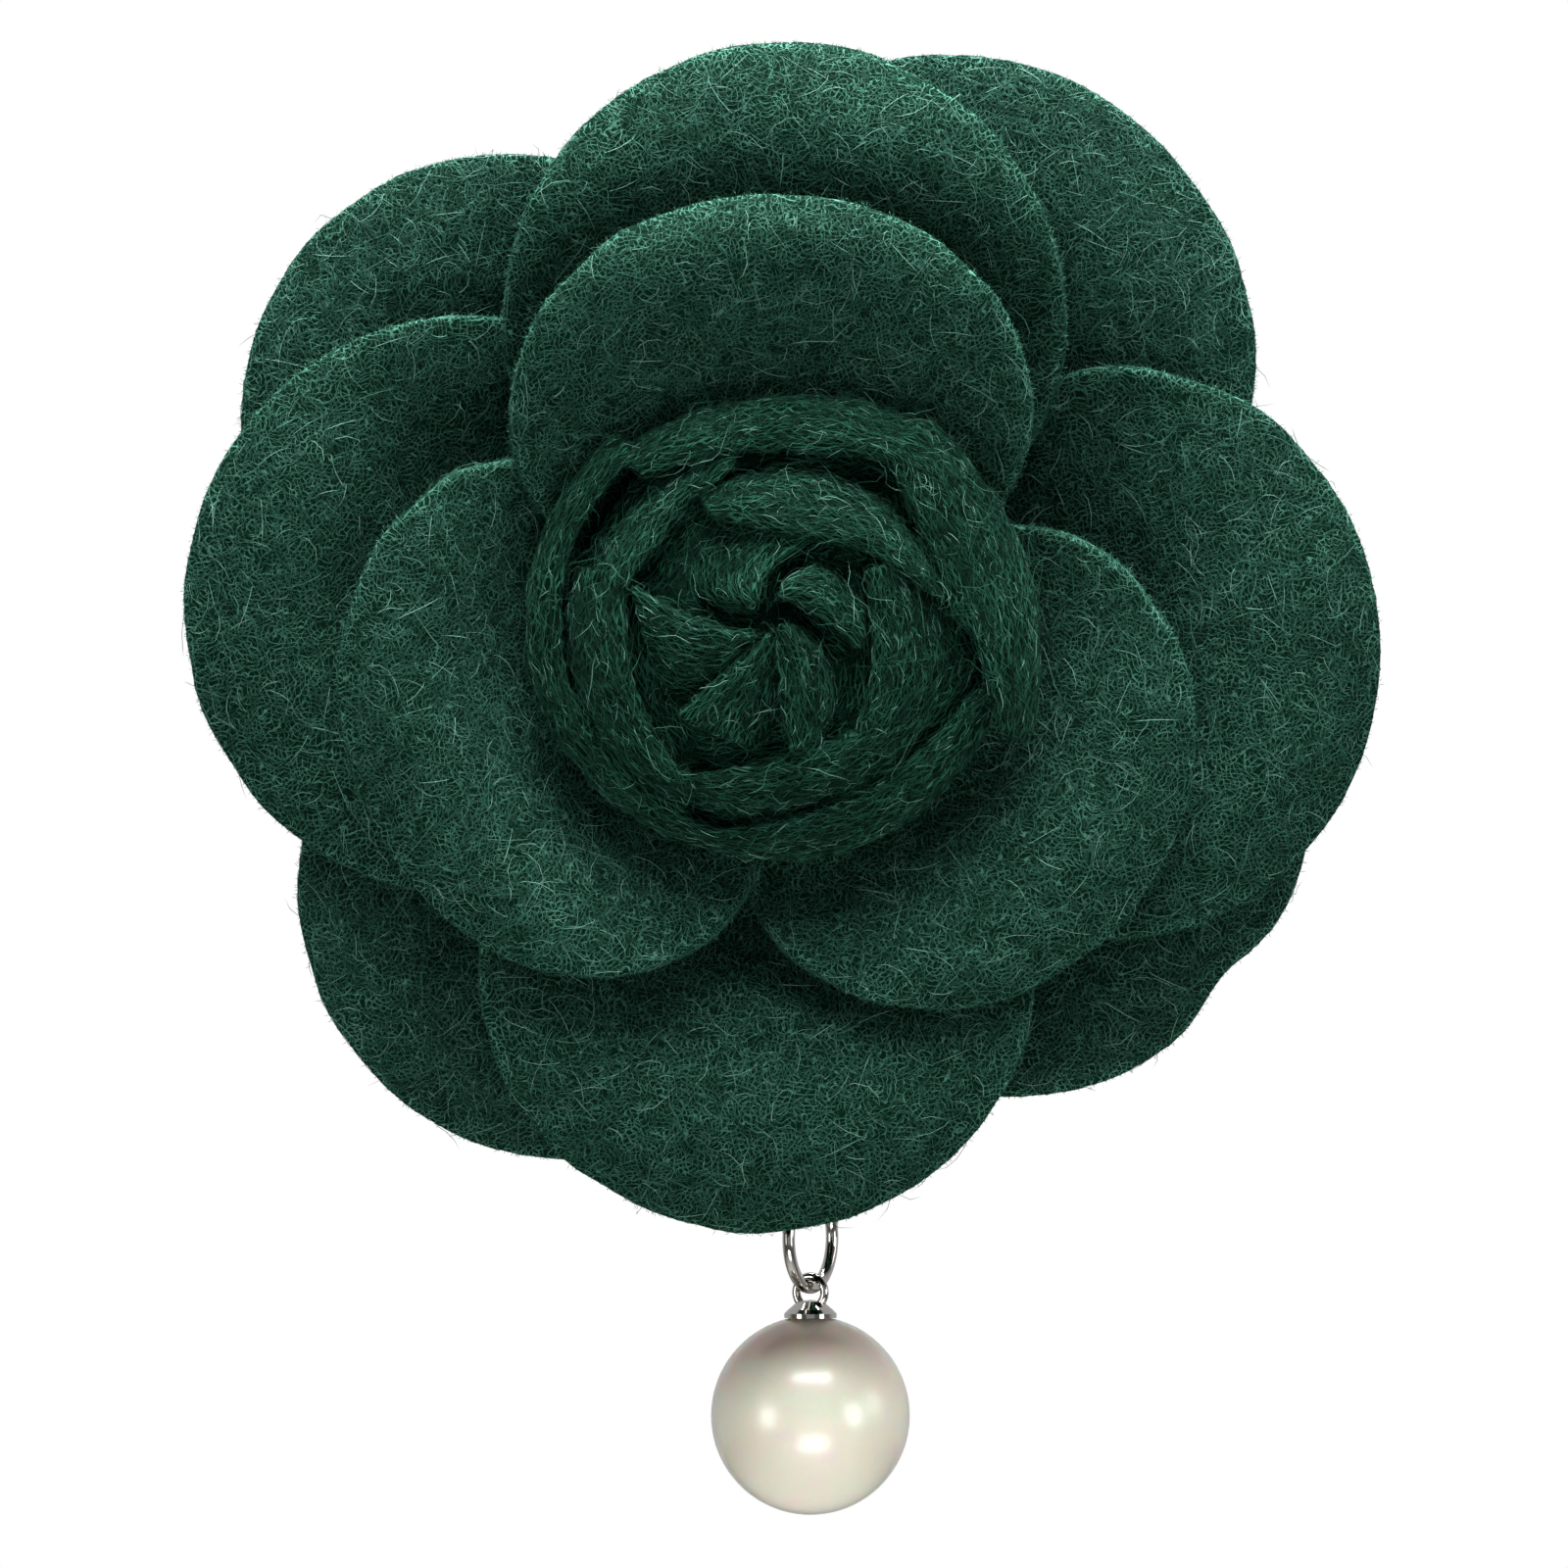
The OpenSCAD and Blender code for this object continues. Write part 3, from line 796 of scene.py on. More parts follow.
@dataclass
class Bud:
    """The rolled bud: the strip's wraps and the pinwheel of flaps, pressed together into one soft mass."""

    level: float = 27.2  # depth of its underside
    middle: tuple[float, float] = (-0.55, 1.2)
    stations: int = 40  # along each fold
    voxel: float = 0.2
    kept_faces: float = 0.5  # share of the skin's faces that stay
    # Section of a fold: how far out from the crest in mm, and how far below its top
    near_fold: Pairs = (
        (1.1, 4.6), (0.7, 2.9), (0.3, 1.8), (0.05, 1.15), (0.0, 0.7), (0.14, 0.3), (0.45, 0.06), (1.0, 0.0))
    over_band: Pairs = ((0.48, 0.12), (0.76, 0.45), (0.95, 0.9))  # as shares of the band and of its drop
    past_band: Pairs = ((0.12, 1.35), (0.35, 2.0), (0.1, 4.2))  # in mm beyond it, and shares of its drop
    full_band: float = 2.6  # bands narrower than this have a thinner fold
    thinnest: float = 0.25  # of a full one
    fold_share: float = 0.8  # of a band, the most that its fold takes up
    wall_drop: float = 2.0  # points this far below the top and more stay as deep in a thin fold
    least_height: float = 0.3  # of a fold's underside above the bud's
    brushing: Waviness = Waviness(0.04, 1.4, 5)
    streaks: Waviness = Waviness(0.055, 0.85, 6)  # bundles of wool along the folds
    streak_stretch: float = 0.12
    heart_sides: int = 64
    # Steps of the heart from its underside up: radius and height
    heart: Pairs = ((6.5, -1.9), (12.0, 0.2), (14.6, 1.6), (13.0, 2.8), (9.0, 4.2), (6.0, 4.8))
    piece: bpy.types.Object | None = None
    grain: list[Lines] = field(default_factory=list)  # places along the folds, which way they run, how far
    COMB: ClassVar[str] = "comb"  # how far along a fold and across it each vertex lies
    COMB_DEPTH: ClassVar[float] = 0.4  # how fast the threads' pattern changes with depth, against across
    GRAIN_AT: ClassVar[tuple[float, ...]] = (0.1, 0.5, 0.9)  # lines along a fold, as shares of its band
    GRAIN_STEP: ClassVar[float] = 0.05  # metres of pattern from one line to the next, so that they differ

    def blank(self) -> bpy.types.Object:
        """Models the straight length that each fold is bent from: a disc extruded station by station.

        Returns:
            The length.
        """
        corners = len(self.near_fold) + len(self.over_band) + len(self.past_band)
        deselect()
        bpy.ops.mesh.primitive_circle_add(vertices=corners, radius=1.0, fill_type="NGON")
        bar = bpy.context.object
        with editing(bar):
            for _ in range(self.stations):
                bpy.ops.mesh.extrude_region_move(TRANSFORM_OT_translate={"value": (0, 0, 1)})
        return bar

    def section(self, crest: np.ndarray, foot: np.ndarray, top: np.ndarray, drop: float) -> np.ndarray:
        """The closed sections of a fold along its length.

        Args:
            crest: places of the fold's inner edge, rows of x and y.
            foot: places of the band's outer side.
            top: height of the fold at each.
            drop: how far the band falls to its outer side.

        Returns:
            An array of stations by corners by x, y and height, in mm.
        """
        band = np.linalg.norm(foot - crest, axis=-1)
        across = unit(foot - crest)
        slim = np.clip(band / self.full_band, self.thinnest, 1.0)
        out = [np.minimum(u * slim, band * self.fold_share) for u, _ in self.near_fold]
        out += [u * band for u, _ in self.over_band] + [u * slim + band for u, _ in self.past_band]
        down = [np.where(h < self.wall_drop, h * slim, h) for _, h in self.near_fold]
        down += [drop * h for _, h in self.over_band] + [drop * h for _, h in self.past_band]
        return np.stack([
            np.column_stack([crest + across * o[:, None], np.maximum(top - d, self.least_height)])
            for o, d in zip(out, down)], 1)

    def bend(self, blank: bpy.types.Object, fold: Wrap | Flap, name: str) -> bpy.types.Object:
        """Bends a copy of the straight length into one fold of the bud, and keeps which way it runs.

        Args:
            blank: the straight length.
            fold: the wrap or flap.
            name: the new object's name.

        Returns:
            The fold's object.
        """
        piece = new_object(name, blank.data.copy())
        flat = points_of(piece)
        t = np.linspace(0, 1, self.stations + 1)
        crest, foot, top = fold.lines(t, np.array(self.middle))
        sections = self.section(crest, foot, top, fold.drop)
        corners = sections.shape[1]
        station = np.rint(flat[:, 2]).astype(int)
        corner = np.rint(np.arctan2(flat[:, 0], flat[:, 1]) / (2 * math.pi) * corners).astype(int) % corners
        shaped = sections[station, corner] + (0, 0, self.level)
        move_points(piece, facing_front(shaped))
        for share in self.GRAIN_AT:
            line = facing_front(np.column_stack([crest + (foot - crest) * share, top + self.level]))
            run = np.concatenate([[0], np.cumsum(np.linalg.norm(np.diff(line, axis=0), axis=1))])
            run += self.GRAIN_STEP * len(self.grain)
            self.grain.append((line, unit(np.gradient(line, axis=0)), run))
        return piece

    def core(self) -> bpy.types.Object:
        """Models the heart that the folds stand on: a disc extruded and resized level by level.

        Returns:
            The heart.
        """
        deselect()
        bpy.ops.mesh.primitive_circle_add(
            vertices=self.heart_sides, radius=self.heart[0][0] * MM, fill_type="NGON")
        heart = bpy.context.object
        heart.name = "bud_heart"
        with editing(heart):
            bpy.ops.transform.translate(value=(0, 0, self.heart[0][1] * MM))
            for (r0, h0), (r1, h1) in zip(self.heart, self.heart[1:]):
                bpy.ops.mesh.extrude_region_move(TRANSFORM_OT_translate={"value": (0, 0, (h1 - h0) * MM)})
                bpy.ops.transform.resize(value=(r1 / r0, r1 / r0, 1))
        move_points(heart, facing_front(points_of(heart) / MM + (0, 0, self.level)))
        return heart

    def build(self) -> bpy.types.Object:
        """Bends all folds, presses them into one skin and makes it as uneven as brushed felt.

        Returns:
            The bud's object.
        """
        bar = self.blank()
        folds = [self.bend(bar, fold, f"fold_{i}") for i, fold in enumerate(WRAPS + FLAPS)]
        self.piece = self.core()
        bpy.data.objects.remove(bar)
        activate(self.piece)
        for fold in folds:
            fold.select_set(True)
        bpy.ops.object.join()
        self.piece.name = "felt_bud"
        with editing(self.piece):
            bpy.ops.mesh.normals_make_consistent(inside=False)
        finish_with(self.piece,
                    ("REMESH", {"mode": "VOXEL", "voxel_size": self.voxel * MM}),
                    ("SMOOTH", {"factor": 0.6, "iterations": 3}),
                    ("DECIMATE", {"ratio": self.kept_faces}))
        at = points_of(self.piece)
        normals = read_rows(self.piece.data.vertices, "normal", np.float32)
        comb = self.combing(at)
        write_attribute(self.piece.data, self.COMB, comb)
        rough = self.brushing(at[:, 0] / MM, at[:, 2] / MM)
        rough += self.streaks(comb[:, 0] / MM * self.streak_stretch, comb[:, 1] / MM)
        move_points(self.piece, at + normals * rough[:, None] * MM)
        smooth(self.piece)
        return self.piece

    def dress(self) -> None:
        """Gives the bud its felt, hangs it on the flower's body and hides the imported bud."""
        self.piece.data.materials.append(BUD_FELT.material())
        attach(self.piece, FLOWER)
        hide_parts("bud")
        log.info("%s: %d faces", self.piece.name, len(self.piece.data.polygons))

    def nearest_fold(self) -> tuple[KDTree, np.ndarray, np.ndarray, np.ndarray]:
        """What is needed to find the fold nearest a place.

        Returns:
            A tree of places along all folds, those places, which way the folds run there and how far along.
        """
        places, ways, runs = (np.concatenate([line[i] for line in self.grain]) for i in range(3))
        tree = KDTree(len(places))
        for i, place in enumerate(places):
            tree.insert(place, i)
        tree.balance()
        return tree, places, ways, runs

    def combing(self, at: np.ndarray) -> np.ndarray:
        """How the strip of felt runs past some places.

        Args:
            at: places on the bud.

        Returns:
            How far along a fold, across it and behind it each lies, in metres.
        """
        tree, places, ways, runs = self.nearest_fold()
        near = np.array([tree.find(place)[1] for place in at])
        off, way = at - places[near], ways[near]
        across = unit(np.cross(way, (0, -1, 0)))
        along = runs[near] + np.einsum("ij,ij->i", off, way)
        return np.stack([along, np.einsum("ij,ij->i", off, across), self.COMB_DEPTH * off[:, 1]], -1)

    def heading(self) -> Callable[[Vector], Vector]:
        """Which way the fibres run at a place on the bud: along the nearest fold."""
        tree, _, ways, _ = self.nearest_fold()
        return lambda at: Vector(ways[tree.find(at)[1]])


@dataclass
class FeltSkin:
    """The triangles of some felt pieces as one surface to scatter on and to lie along."""

    pieces: list[bpy.types.Object]
    corners: np.ndarray = field(init=False)
    normals: np.ndarray = field(init=False)
    areas: np.ndarray = field(init=False)
    tree: BVHTree = field(init=False)
    REACH: ClassVar[float] = 60 * MM  # how far off felt still hides a place
    CLEAR: ClassVar[float] = 0.15 * MM  # looks start this far off the felt itself
    GRAZING: ClassVar[float] = 0.05  # looks flatter to the felt than this, as a cosine, see nothing

    def __post_init__(self) -> None:
        """Reads the pieces' triangles."""
        points, faces, start = [], [], 0
        for piece in self.pieces:
            piece.data.calc_loop_triangles()
            points.append(points_of(piece))
            faces.append(read_rows(piece.data.loop_triangles, "vertices", np.int32) + start)
            start += len(points[-1])
        at, tri = np.concatenate(points), np.concatenate(faces)
        # Blender may give the faces in another order next time, so they are sorted for the random draws
        first = tri.argmin(axis=1)[:, None]
        tri = np.take_along_axis(tri, (first + np.arange(3)) % 3, axis=1)
        tri = tri[np.lexsort(tri.T[::-1])]
        self.corners = at[tri]
        cross = np.cross(self.corners[:, 1] - self.corners[:, 0], self.corners[:, 2] - self.corners[:, 0])
        self.areas = np.linalg.norm(cross, axis=1) / 2
        self.normals = unit(cross)
        self.tree = BVHTree.FromPolygons(at.tolist(), tri.tolist())

    def scatter(self, count: int, rng: np.random.Generator) -> tuple[np.ndarray, np.ndarray]:
        """Random places spread evenly over the surface.

        Args:
            count: how many places.
            rng: the source of random numbers.

        Returns:
            The places and the normals there.
        """
        chosen = rng.choice(len(self.areas), count, p=self.areas / self.areas.sum())
        a, b = rng.random((2, count, 1))
        over = a + b > 1
        a, b = np.where(over, 1 - a, a), np.where(over, 1 - b, b)
        c = self.corners[chosen]
        return c[:, 0] + a * (c[:, 1] - c[:, 0]) + b * (c[:, 2] - c[:, 0]), self.normals[chosen]

    def openness(self, at: Vector, normal: Vector, looks: list[Vector]) -> float:
        """How much of a place can be seen.

        Args:
            at: the place.
            normal: the felt's normal there.
            looks: directions towards the viewer.

        Returns:
            The share of those directions in which nothing hides the place.
        """
        start = at + normal * self.CLEAR
        seen = [look for look in looks if look.dot(normal) > self.GRAZING]
        return sum(self.tree.ray_cast(start, look, self.REACH)[0] is None for look in seen) / len(looks)


@dataclass
class FibreCoat:
    """Loose wool fibres on some felt pieces: thin closed spindles, some lying and some standing off."""

    name: str
    wearers: list[bpy.types.Object]
    wool: LooseWool
    felt_slot: str
    seed: int
    lying: int  # how many fibres lie along the felt
    length: tuple[float, float] = (1.6, 4.6)
    width: float = 0.05  # about twice real wool, so that one shows in the render
    steps: int = 4
    lift: float = 0.07  # how far the middle of a lying fibre stands off the felt
    curl: float = 0.6  # most turn from step to step, in radians
    stray_share: float = 0.035  # of the fibres, that stand off further
    stray_rise: float = 0.28  # how far the end of a stray stands off, as a share of its length
    back_share: float = 0.3  # how dense they are behind, against the front
    rims: list[Petal] = field(default_factory=list)
    rim_fibres: int = 0  # on the cut rim of each petal
    rim_length: tuple[float, float] = (0.15, 0.55)
    least_dot: float = -1.0  # least agreement of the felt's normals from step to step
    along: Callable[[Vector], Vector] | None = None  # which way the fibres run, or every way
    spread: float = math.pi  # how far a fibre may turn from that heading
    hole: Vector | None = None  # where a ring hangs in the felt
    hole_half: float = 0.8  # half the width of the strip that is left free for its swing
    hole_reach: float = 5.0  # and how far from the hole that strip goes
    TONE: ClassVar[str] = "tone"  # the attribute that shades each fibre
    TRIES: ClassVar[int] = 8  # places drawn for each fibre that is wanted
    HIDDEN: ClassVar[float] = 0.01  # share of the fibres that also grow where nothing looks
    UNEVEN: ClassVar[tuple[float, float]] = (0.5, 1.5)  # least and most of the lift, as shares of it
    SUNK: ClassVar[float] = 0.02  # how deep a lying fibre's ends are in the felt, in mm
    ROOT: ClassVar[float] = 0.03  # how deep all roots are
    RIM_ROOT: ClassVar[float] = 0.12  # and those on the cut rim
    # Directions across and up, from which a fibre is seen
    FAN: ClassVar[Pairs] = (
        (0, 0), (0.7, 0), (-0.7, 0), (0, 0.7), (0, -0.7), (1.2, 0.6), (-1.2, 0.6))
    # Places along a fibre and how thick it is there, as shares of its length and width
    TAPER: ClassVar[tuple[tuple[float, ...], tuple[float, ...]]] = ((0, 0.3, 0.8, 1), (0.5, 1, 0.8, 0.3))
    FRIZZ: ClassVar[float] = 0.75  # how much fibres of the rim turn away from it at random
    RIM_CURL: ClassVar[float] = 0.8  # and their most turn from step to step, in radians
    SKEW: ClassVar[tuple[float, float, float]] = (0.31, 0.17, 0.53)  # so that no side runs along its fibre
    TONE_POWER: ClassVar[float] = 1.5  # above 1, so more fibres are dark than light
    MARGIN: ClassVar[float] = 0.1  # round a fibre's cell on the UV map

    def roots(self, skin: FeltSkin, cover: FeltSkin, rng: np.random.Generator) -> list[tuple[Vector, Vector]]:
        """Places for the lying fibres, denser where the felt shows.

        Args:
            skin: the surface of the pieces that wear them.
            cover: the surface of all felt, which hides some of it.
            rng: the source of random numbers.

        Returns:
            Places and normals.
        """
        found: list[tuple[Vector, Vector]] = []
        front, back = ([Vector((x, y, z)).normalized() for x, z in self.FAN] for y in (-1, 1))
        places, normals = skin.scatter(self.lying * self.TRIES, rng)
        draws = rng.random(len(places))
        for place, normal, draw in zip(places, normals, draws):
            at, away = Vector(place), Vector(normal)
            seen = cover.openness(at, away, front)
            seen = max(seen, self.back_share * cover.openness(at, away, back))
            if draw < seen + self.HIDDEN:
                found.append((at, away))
                if len(found) == self.lying:
                    break
        return found

    def lay(self, skin: FeltSkin, at: Vector, normal: Vector, rng: np.random.Generator) -> list[Vector]:
        """One fibre that follows the felt, with a small lift at its middle or a free end that stands off.

        Args:
            skin: the felt that it lies on.
            at: where it is rooted.
            normal: the felt's normal there.
            rng: the source of random numbers.

        Returns:
            Its places, or none where it would bridge a crease.
        """
        length = rng.uniform(*self.length) * MM
        stray = rng.random() < self.stray_share
        side = Vector(rng.normal(size=3))
        way = self.along(at) if self.along else side
        way = way - normal * way.dot(normal)
        way.normalize()
        way.rotate(Matrix.Rotation(rng.uniform(-self.spread, self.spread), 3, normal))
        if rng.random() < 0.5:
            way = -way
        turn = rng.uniform(-self.curl, self.curl)
        spots, step = [at - normal * self.ROOT * MM], length / self.steps
        for i in range(1, self.steps + 1):
            near, felt_way, _, _ = skin.tree.find_nearest(at + way * step)
            if not stray and felt_way.dot(normal) < self.least_dot:
                return []
            at, normal = near, felt_way
            way = way - normal * way.dot(normal)
            if way.length < 1e-6:
                way = side.cross(normal)
            way.normalize()
            way.rotate(Matrix.Rotation(turn, 3, normal))
            share = i / self.steps
            off = self.lift * math.sin(math.pi * share) * rng.uniform(*self.UNEVEN) - self.SUNK
            if stray:
                off = self.lift + share ** 2 * length / MM * self.stray_rise
            spots.append(at + normal * off * MM)
        return spots

    def fly(self, at: Vector, away: Vector, rng: np.random.Generator) -> list[Vector]:
        """One fibre of the cut rim, which curls off it.

        Args:
            at: where it is rooted.
            away: which way is out there.
            rng: the source of random numbers.

        Returns:
            Its places.
        """
        step = rng.uniform(*self.rim_length) * MM / self.steps
        way = away + Vector(rng.normal(size=3)) * self.FRIZZ
        way.normalize()
        axis = Vector(rng.normal(size=3)).normalized()
        turn = Matrix.Rotation(rng.uniform(-self.RIM_CURL, self.RIM_CURL), 3, axis)
        spots = [at - away * self.RIM_ROOT * MM]
        for _ in range(self.steps):
            spots.append(spots[-1] + way * step)
            way.rotate(turn)
        return spots

    def clear(self, strand: list[Vector]) -> bool:
        """Whether a fibre keeps out of the way of the swinging ring.

        Args:
            strand: the fibre's places.

        Returns:
            True where it does, or where no ring hangs in this felt.
        """
        half, reach = self.hole_half * MM, self.hole_reach * MM
        return self.hole is None or not any(
            abs(spot.x - self.hole.x) < half and (spot - self.hole).length < reach for spot in strand)

    def spin(self, strands: np.ndarray, tones: np.ndarray) -> bpy.types.Object:
        """Makes one mesh of all fibres: three-sided spindles, closed at both tips.

        Args:
            strands: an array of fibres by steps by x, y and z, in metres.
            tones: the tone of each fibre, from 0 to 1.

        Returns:
            The fibres' object.
        """
        count, stops = strands.shape[:2]
        rings = stops - 2
        way = unit(np.gradient(strands, axis=1))
        side = unit(np.cross(way, np.roll(way, 1, axis=-1) + self.SKEW))
        up = np.cross(way, side)
        thick = np.interp(np.linspace(0, 1, stops), *self.TAPER) * self.width / 2 * MM
        round_it = [side * math.cos(a) + up * math.sin(a) for a in np.radians((0, 120, 240))]
        walls = np.stack([strands + w * thick[:, None] for w in round_it], 2)[:, 1:-1]
        points = np.concatenate([strands[:, :1], walls.reshape(count, rings * 3, 3), strands[:, -1:]], 1)
        last, faces = rings * 3 + 1, []
        for k in range(3):
            m = (k + 1) % 3
            faces.append((0, 1 + m, 1 + k))
            faces.append((last, last - 3 + k, last - 3 + m))
            for r in range(rings - 1):
                a, b, c, d = 1 + 3 * r + k, 1 + 3 * r + m, 4 + 3 * r + m, 4 + 3 * r + k
                faces += [(a, b, c), (a, c, d)]
        faces = np.array(faces)
        every = (faces[None] + np.arange(count)[:, None, None] * (last + 1)).reshape(-1, 3)
        mesh = bpy.data.meshes.new(self.name)
        mesh.vertices.add(count * (last + 1))
        mesh.vertices.foreach_set("co", points.astype(np.float32).ravel())
        mesh.loops.add(every.size)
        mesh.loops.foreach_set("vertex_index", every.astype(np.int32).ravel())
        mesh.polygons.add(len(every))
        mesh.polygons.foreach_set("loop_start", np.arange(0, every.size, 3, dtype=np.int32))
        mesh.update(calc_edges=True)
        write_attribute(mesh, self.TONE, np.repeat(tones, last + 1))
        self.lay_out(mesh, count, faces, rings)
        coat = new_object(self.name, mesh)
        smooth(coat)
        return coat

    def lay_out(self, mesh: bpy.types.Mesh, count: int, faces: np.ndarray, rings: int) -> None:
        """Gives each fibre a cell of its own on a UV map.

        Args:
            mesh: the mesh of all fibres.
            count: how many fibres there are.
            faces: the corners of one fibre's triangles.
            rings: how many rings of three corners a fibre has between its tips.
        """
        along = np.concatenate([[0.0], np.repeat(np.arange(1, rings + 1), 3), [rings + 1.0]]) / (rings + 1)
        # The corners of a ring lie side by side across the cell, and both tips in its middle
        around = np.concatenate([[0.5], np.tile([0.1, 0.5, 0.9], rings), [0.5]])
        grid = math.ceil(math.sqrt(count))
        cell = np.stack([np.arange(count) % grid, np.arange(count) // grid], -1)
        local = np.stack([along[faces], around[faces]], -1).reshape(1, -1, 2)
        uv = (cell[:, None] + local * (1 - 2 * self.MARGIN) + self.MARGIN) / grid
        layer = mesh.uv_layers.new(name="OFBake", do_init=False)
        layer.uv.foreach_set("vector", uv.astype(np.float32).ravel())

    def build(self, cover: FeltSkin) -> bpy.types.Object:
        """Grows the fibres, spins them into one mesh and dresses it.

        Args:
            cover: the surface of all felt.

        Returns:
            The fibres' object.
        """
        rng = np.random.default_rng(self.seed)
        skin = FeltSkin(self.wearers)
        strands = [self.lay(skin, at, normal, rng) for at, normal in self.roots(skin, cover, rng)]
        for petal in self.rims:
            for at, away in zip(*petal.rim(self.rim_fibres, rng)):
                strands.append(self.fly(Vector(at), Vector(away), rng))
        strands = [strand for strand in strands if strand and self.clear(strand)]
        tones = rng.random(len(strands)) ** self.TONE_POWER
        coat = self.spin(np.array([[tuple(spot) for spot in strand] for strand in strands]), tones)
        coat.data.materials.append(self.wool.material())
        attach(coat, FLOWER)
        log.info("%s: %d fibres, %d faces", coat.name, len(strands), len(coat.data.polygons))
        return coat


@dataclass
class PearlDrop:
    """The hanging drop: jump ring, soldered cap with its eye and peg, and the pearl."""

    ring_d: float = 7.0  # at the middle of the wire

    def hole(self) -> Vector:
        """Where the ring hangs in the felt.

        Returns:
            The middle of its wire at the top, in metres.
        """
        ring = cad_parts["jump_ring"]
        corners = [ring.matrix_world @ Vector(corner) for corner in ring.bound_box]
        return sum(corners, Vector()) / len(corners) + Vector((0, 0, self.ring_d / 2 * MM))

    def dress(self) -> None:
        """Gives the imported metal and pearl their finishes."""
        plated = ("jump_ring", "drop_cap", "brooch_pin")
        for finish, names in ((NickelPlate(), plated), (Nacre(), ("pearl",))):
            material = finish.material()
            for name in names:
                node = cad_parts[name]
                node.data.materials.clear()
                node.data.materials.append(material)
                log.info("%s: %d faces", name, len(node.data.polygons))


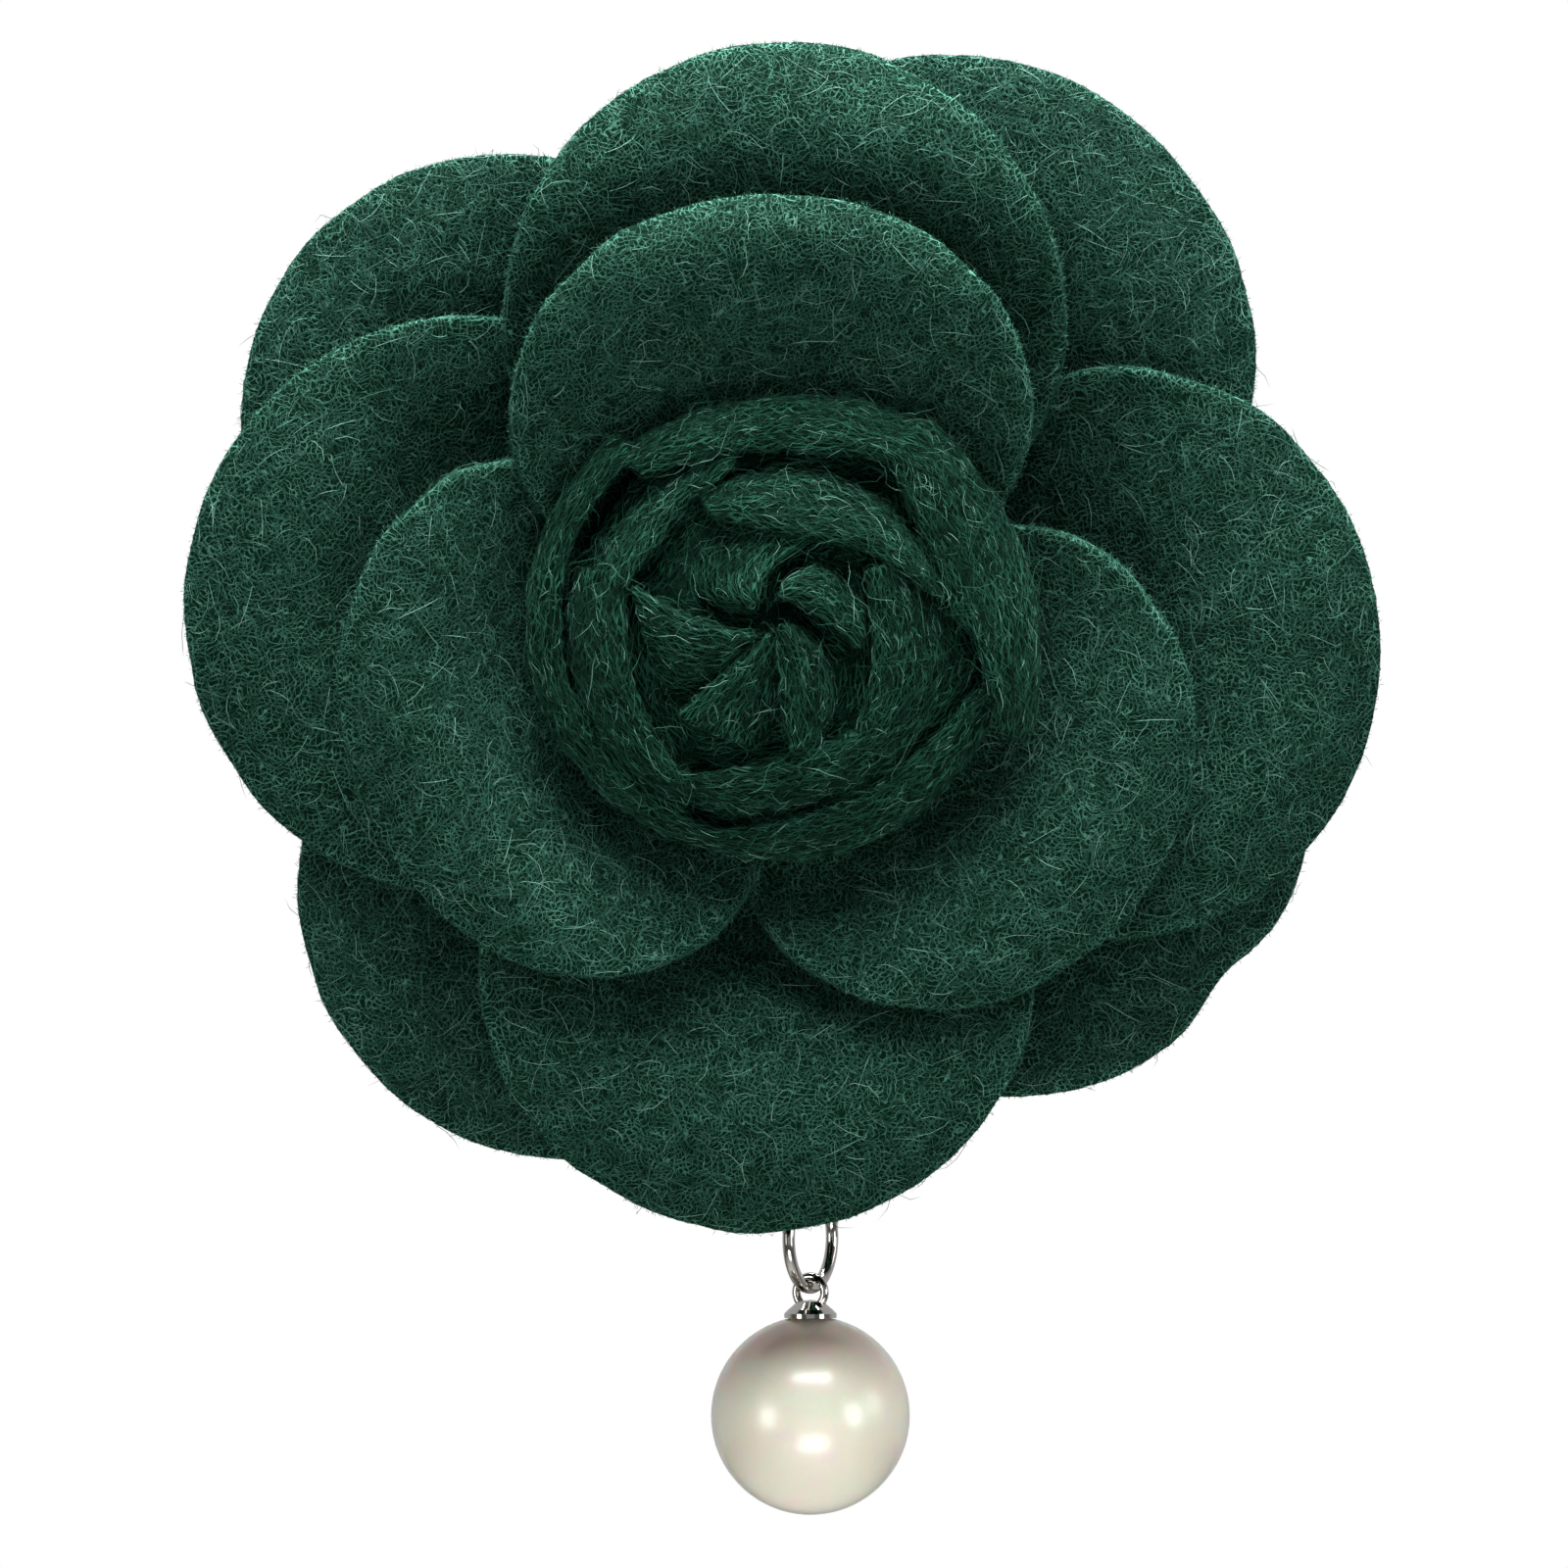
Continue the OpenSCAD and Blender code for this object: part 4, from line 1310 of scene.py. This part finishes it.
@dataclass
class Studio:
    """White paper, soft lamps round the front, and a long lens straight in front of the flower."""

    distance: float = 1.2
    field_w: float = 109.3 * MM
    aim: tuple[float, float, float] = (0.34 * MM, -24 * MM, -10.6 * MM)  # the middle of the picture
    sensor: float = 36.0
    seen: float = 1.0  # brightness of the surround in the picture
    backdrop: float = 0.5  # of its half behind the brooch, as the pearl and the metal mirror it
    room: float = 0.1  # of the mirrored half in front
    around: float = 0.02  # how much the surround lights matt pieces
    turnover: tuple[float, float] = (-0.1, 0.35)  # where the mirrored front turns into the back, of -1 to 1
    floor_sides: int = 128
    floor_z: float = -0.8
    floor_r: float = 2.6
    floor_hem: tuple[float, float] = (0.3, -0.02)  # width of the floor's edge, and how far it turns up
    # Name, azimuth and elevation in degrees, distance, width and height in metres, and watts
    lamps: tuple[tuple[str, float, float, float, tuple[float, float], float], ...] = (
        ("overhead_box", 3, 54, 0.8, (0.62, 0.44), 6.6),
        ("top_box", 0, 75, 0.8, (0.4, 0.3), 7.4),
        ("rear_top_box", 0, 95, 0.6, (0.45, 0.26), 13.0),
        ("left_box", -50, -4, 0.8, (0.26, 0.28), 1.1),
        ("right_box", 51, -2, 0.8, (0.26, 0.28), 1.15),
        ("side_box", 80, 8, 0.8, (0.3, 0.3), 0.6),
        ("front_bounce", 4, -34, 0.7, (0.4, 0.2), 1.3),
        ("front_box", 0, 4, 0.9, (0.6, 0.6), 0.25))

    def camera(self) -> None:
        """Sets the camera straight in front, far off, as wide as the photograph's field."""
        data = bpy.data.cameras.new("camera")
        data.sensor_width = self.sensor
        data.lens = self.sensor * self.distance / self.field_w
        data.clip_end = 20.0
        eye = new_object("camera", data)
        eye.location = (self.aim[0], self.aim[1] - self.distance, self.aim[2])
        eye.rotation_euler = (math.pi / 2, 0, 0)
        bpy.context.scene.camera = eye

    def lamp(self, name: str, azimuth: float, elevation: float, distance: float, size: tuple[float, float],
             watts: float) -> None:
        """Adds a soft box that looks at the flower.

        Args:
            name: the lamp's name.
            azimuth: degrees round from the front, positive to the viewer's right.
            elevation: degrees above level.
            distance: metres from the flower.
            size: width and height in metres.
            watts: its power.
        """
        data = bpy.data.lights.new(name, "AREA")
        data.shape = "RECTANGLE"
        data.size, data.size_y = size
        data.energy = watts
        lamp = new_object(name, data)
        a, e = math.radians(azimuth), math.radians(elevation)
        way = Vector((math.sin(a) * math.cos(e), -math.cos(a) * math.cos(e), math.sin(e)))
        lamp.location = way * distance
        lamp.rotation_euler = way.to_track_quat("Z", "Y").to_euler()

    def world(self) -> None:
        """Sets a white surround; the pearl and the metal mirror it behind and a dark room in front."""
        world = bpy.data.worlds.new("surround")
        world.use_nodes = True
        tree = world.node_tree
        tree.nodes.clear()
        ray = add_node(tree, "LightPath").outputs
        way = add_node(tree, "SeparateXYZ", {"Vector": add_node(tree, "TexCoord").outputs["Generated"]})
        mirrored = add_node(tree, "MapRange", {
            "Value": way.outputs["Y"], "From Min": self.turnover[0], "From Max": self.turnover[1],
            "To Min": self.room, "To Max": self.backdrop})
        unseen = add_node(tree, "MapRange", {
            "Value": ray["Is Glossy Ray"], "To Min": self.around, "To Max": mirrored})
        strength = add_node(tree, "MapRange", {
            "Value": ray["Is Camera Ray"], "To Min": unseen, "To Max": self.seen})
        glow = add_node(tree, "Background", {"Color": linear("#ffffff"), "Strength": strength})
        add_node(tree, "OutputWorld", {"Surface": glow})
        bpy.context.scene.world = world

    def floor(self) -> None:
        """Lays a round sheet of white paper well below the brooch, with its edge turned up a little."""
        deselect()
        bpy.ops.mesh.primitive_circle_add(
            vertices=self.floor_sides, radius=self.floor_r, fill_type="NGON", location=(0, 0, self.floor_z))
        sheet = bpy.context.object
        sheet.name = "paper_floor"
        with editing(sheet):
            bpy.ops.mesh.inset(thickness=self.floor_hem[0], depth=self.floor_hem[1])
        bpy.ops.object.transform_apply()
        sheet.data.materials.append(PaperSweep().material())

    def build(self) -> None:
        """Sets up the whole studio."""
        self.camera()
        self.world()
        self.floor()
        for lamp in self.lamps:
            self.lamp(*lamp)
        bpy.context.scene.view_settings.view_transform = "Standard"


def main() -> None:
    """Builds the brooch piece by piece, then the studio."""
    logging.basicConfig(level=logging.INFO, format="%(name)s %(message)s")
    corolla = Corolla()
    corolla.build()
    bud = Bud()
    bud.build()
    bud.dress()
    drop = PearlDrop()
    drop.dress()
    cover = FeltSkin([petal.piece for petal in corolla.petals] + [bud.piece])
    along = bud.heading()
    coats = [
        FibreCoat("wool_fibres_bud", [bud.piece], BUD_WOOL, "felt_bud", seed=3, lying=14500,
                  length=(0.8, 2.4), width=0.045, steps=3, lift=0.09, curl=0.7, stray_share=0.07,
                  least_dot=0.6, along=along, spread=0.7),
        FibreCoat("wool_strays_bud", [bud.piece], BUD_WOOL, "felt_bud", seed=4, lying=900,
                  length=(2.2, 5.5), width=0.045, steps=6, lift=0.35, curl=0.35, stray_share=0.45,
                  along=along, spread=1.2),
    ]
    for place, layer, wool, slot, seed, lying, rim_fibres in (
            ("inner", Layer.INNER, INNER_WOOL, "felt_inner", 21, 6300, 1900),
            ("middle", Layer.MIDDLE, INNER_WOOL, "felt_inner", 22, 8400, 1900),
            ("outer", Layer.OUTER, OUTER_WOOL, "felt_outer", 23, 6900, 1900),
            ("rear", Layer.REAR, OUTER_WOOL, "felt_outer", 24, 3000, 1000)):
        petals = corolla.of(layer)
        pieces = [petal.piece for petal in petals]
        hole = drop.hole() if layer is Layer.REAR else None
        coats.append(FibreCoat(f"wool_fibres_{place}", pieces, wool, slot, seed=seed, lying=lying, hole=hole))
        # Rim fuzz in the paler palette, partly a painted highlight along the cut edge
        coats.append(FibreCoat(f"wool_fuzz_{place}", pieces, EDGE_WOOL, slot, seed=seed + 50, lying=0,
                               steps=2, rims=petals, rim_fibres=rim_fibres, hole=hole))
    for coat in coats:
        coat.build(cover)
    Studio().build()


if __name__ == "__main__":
    main()
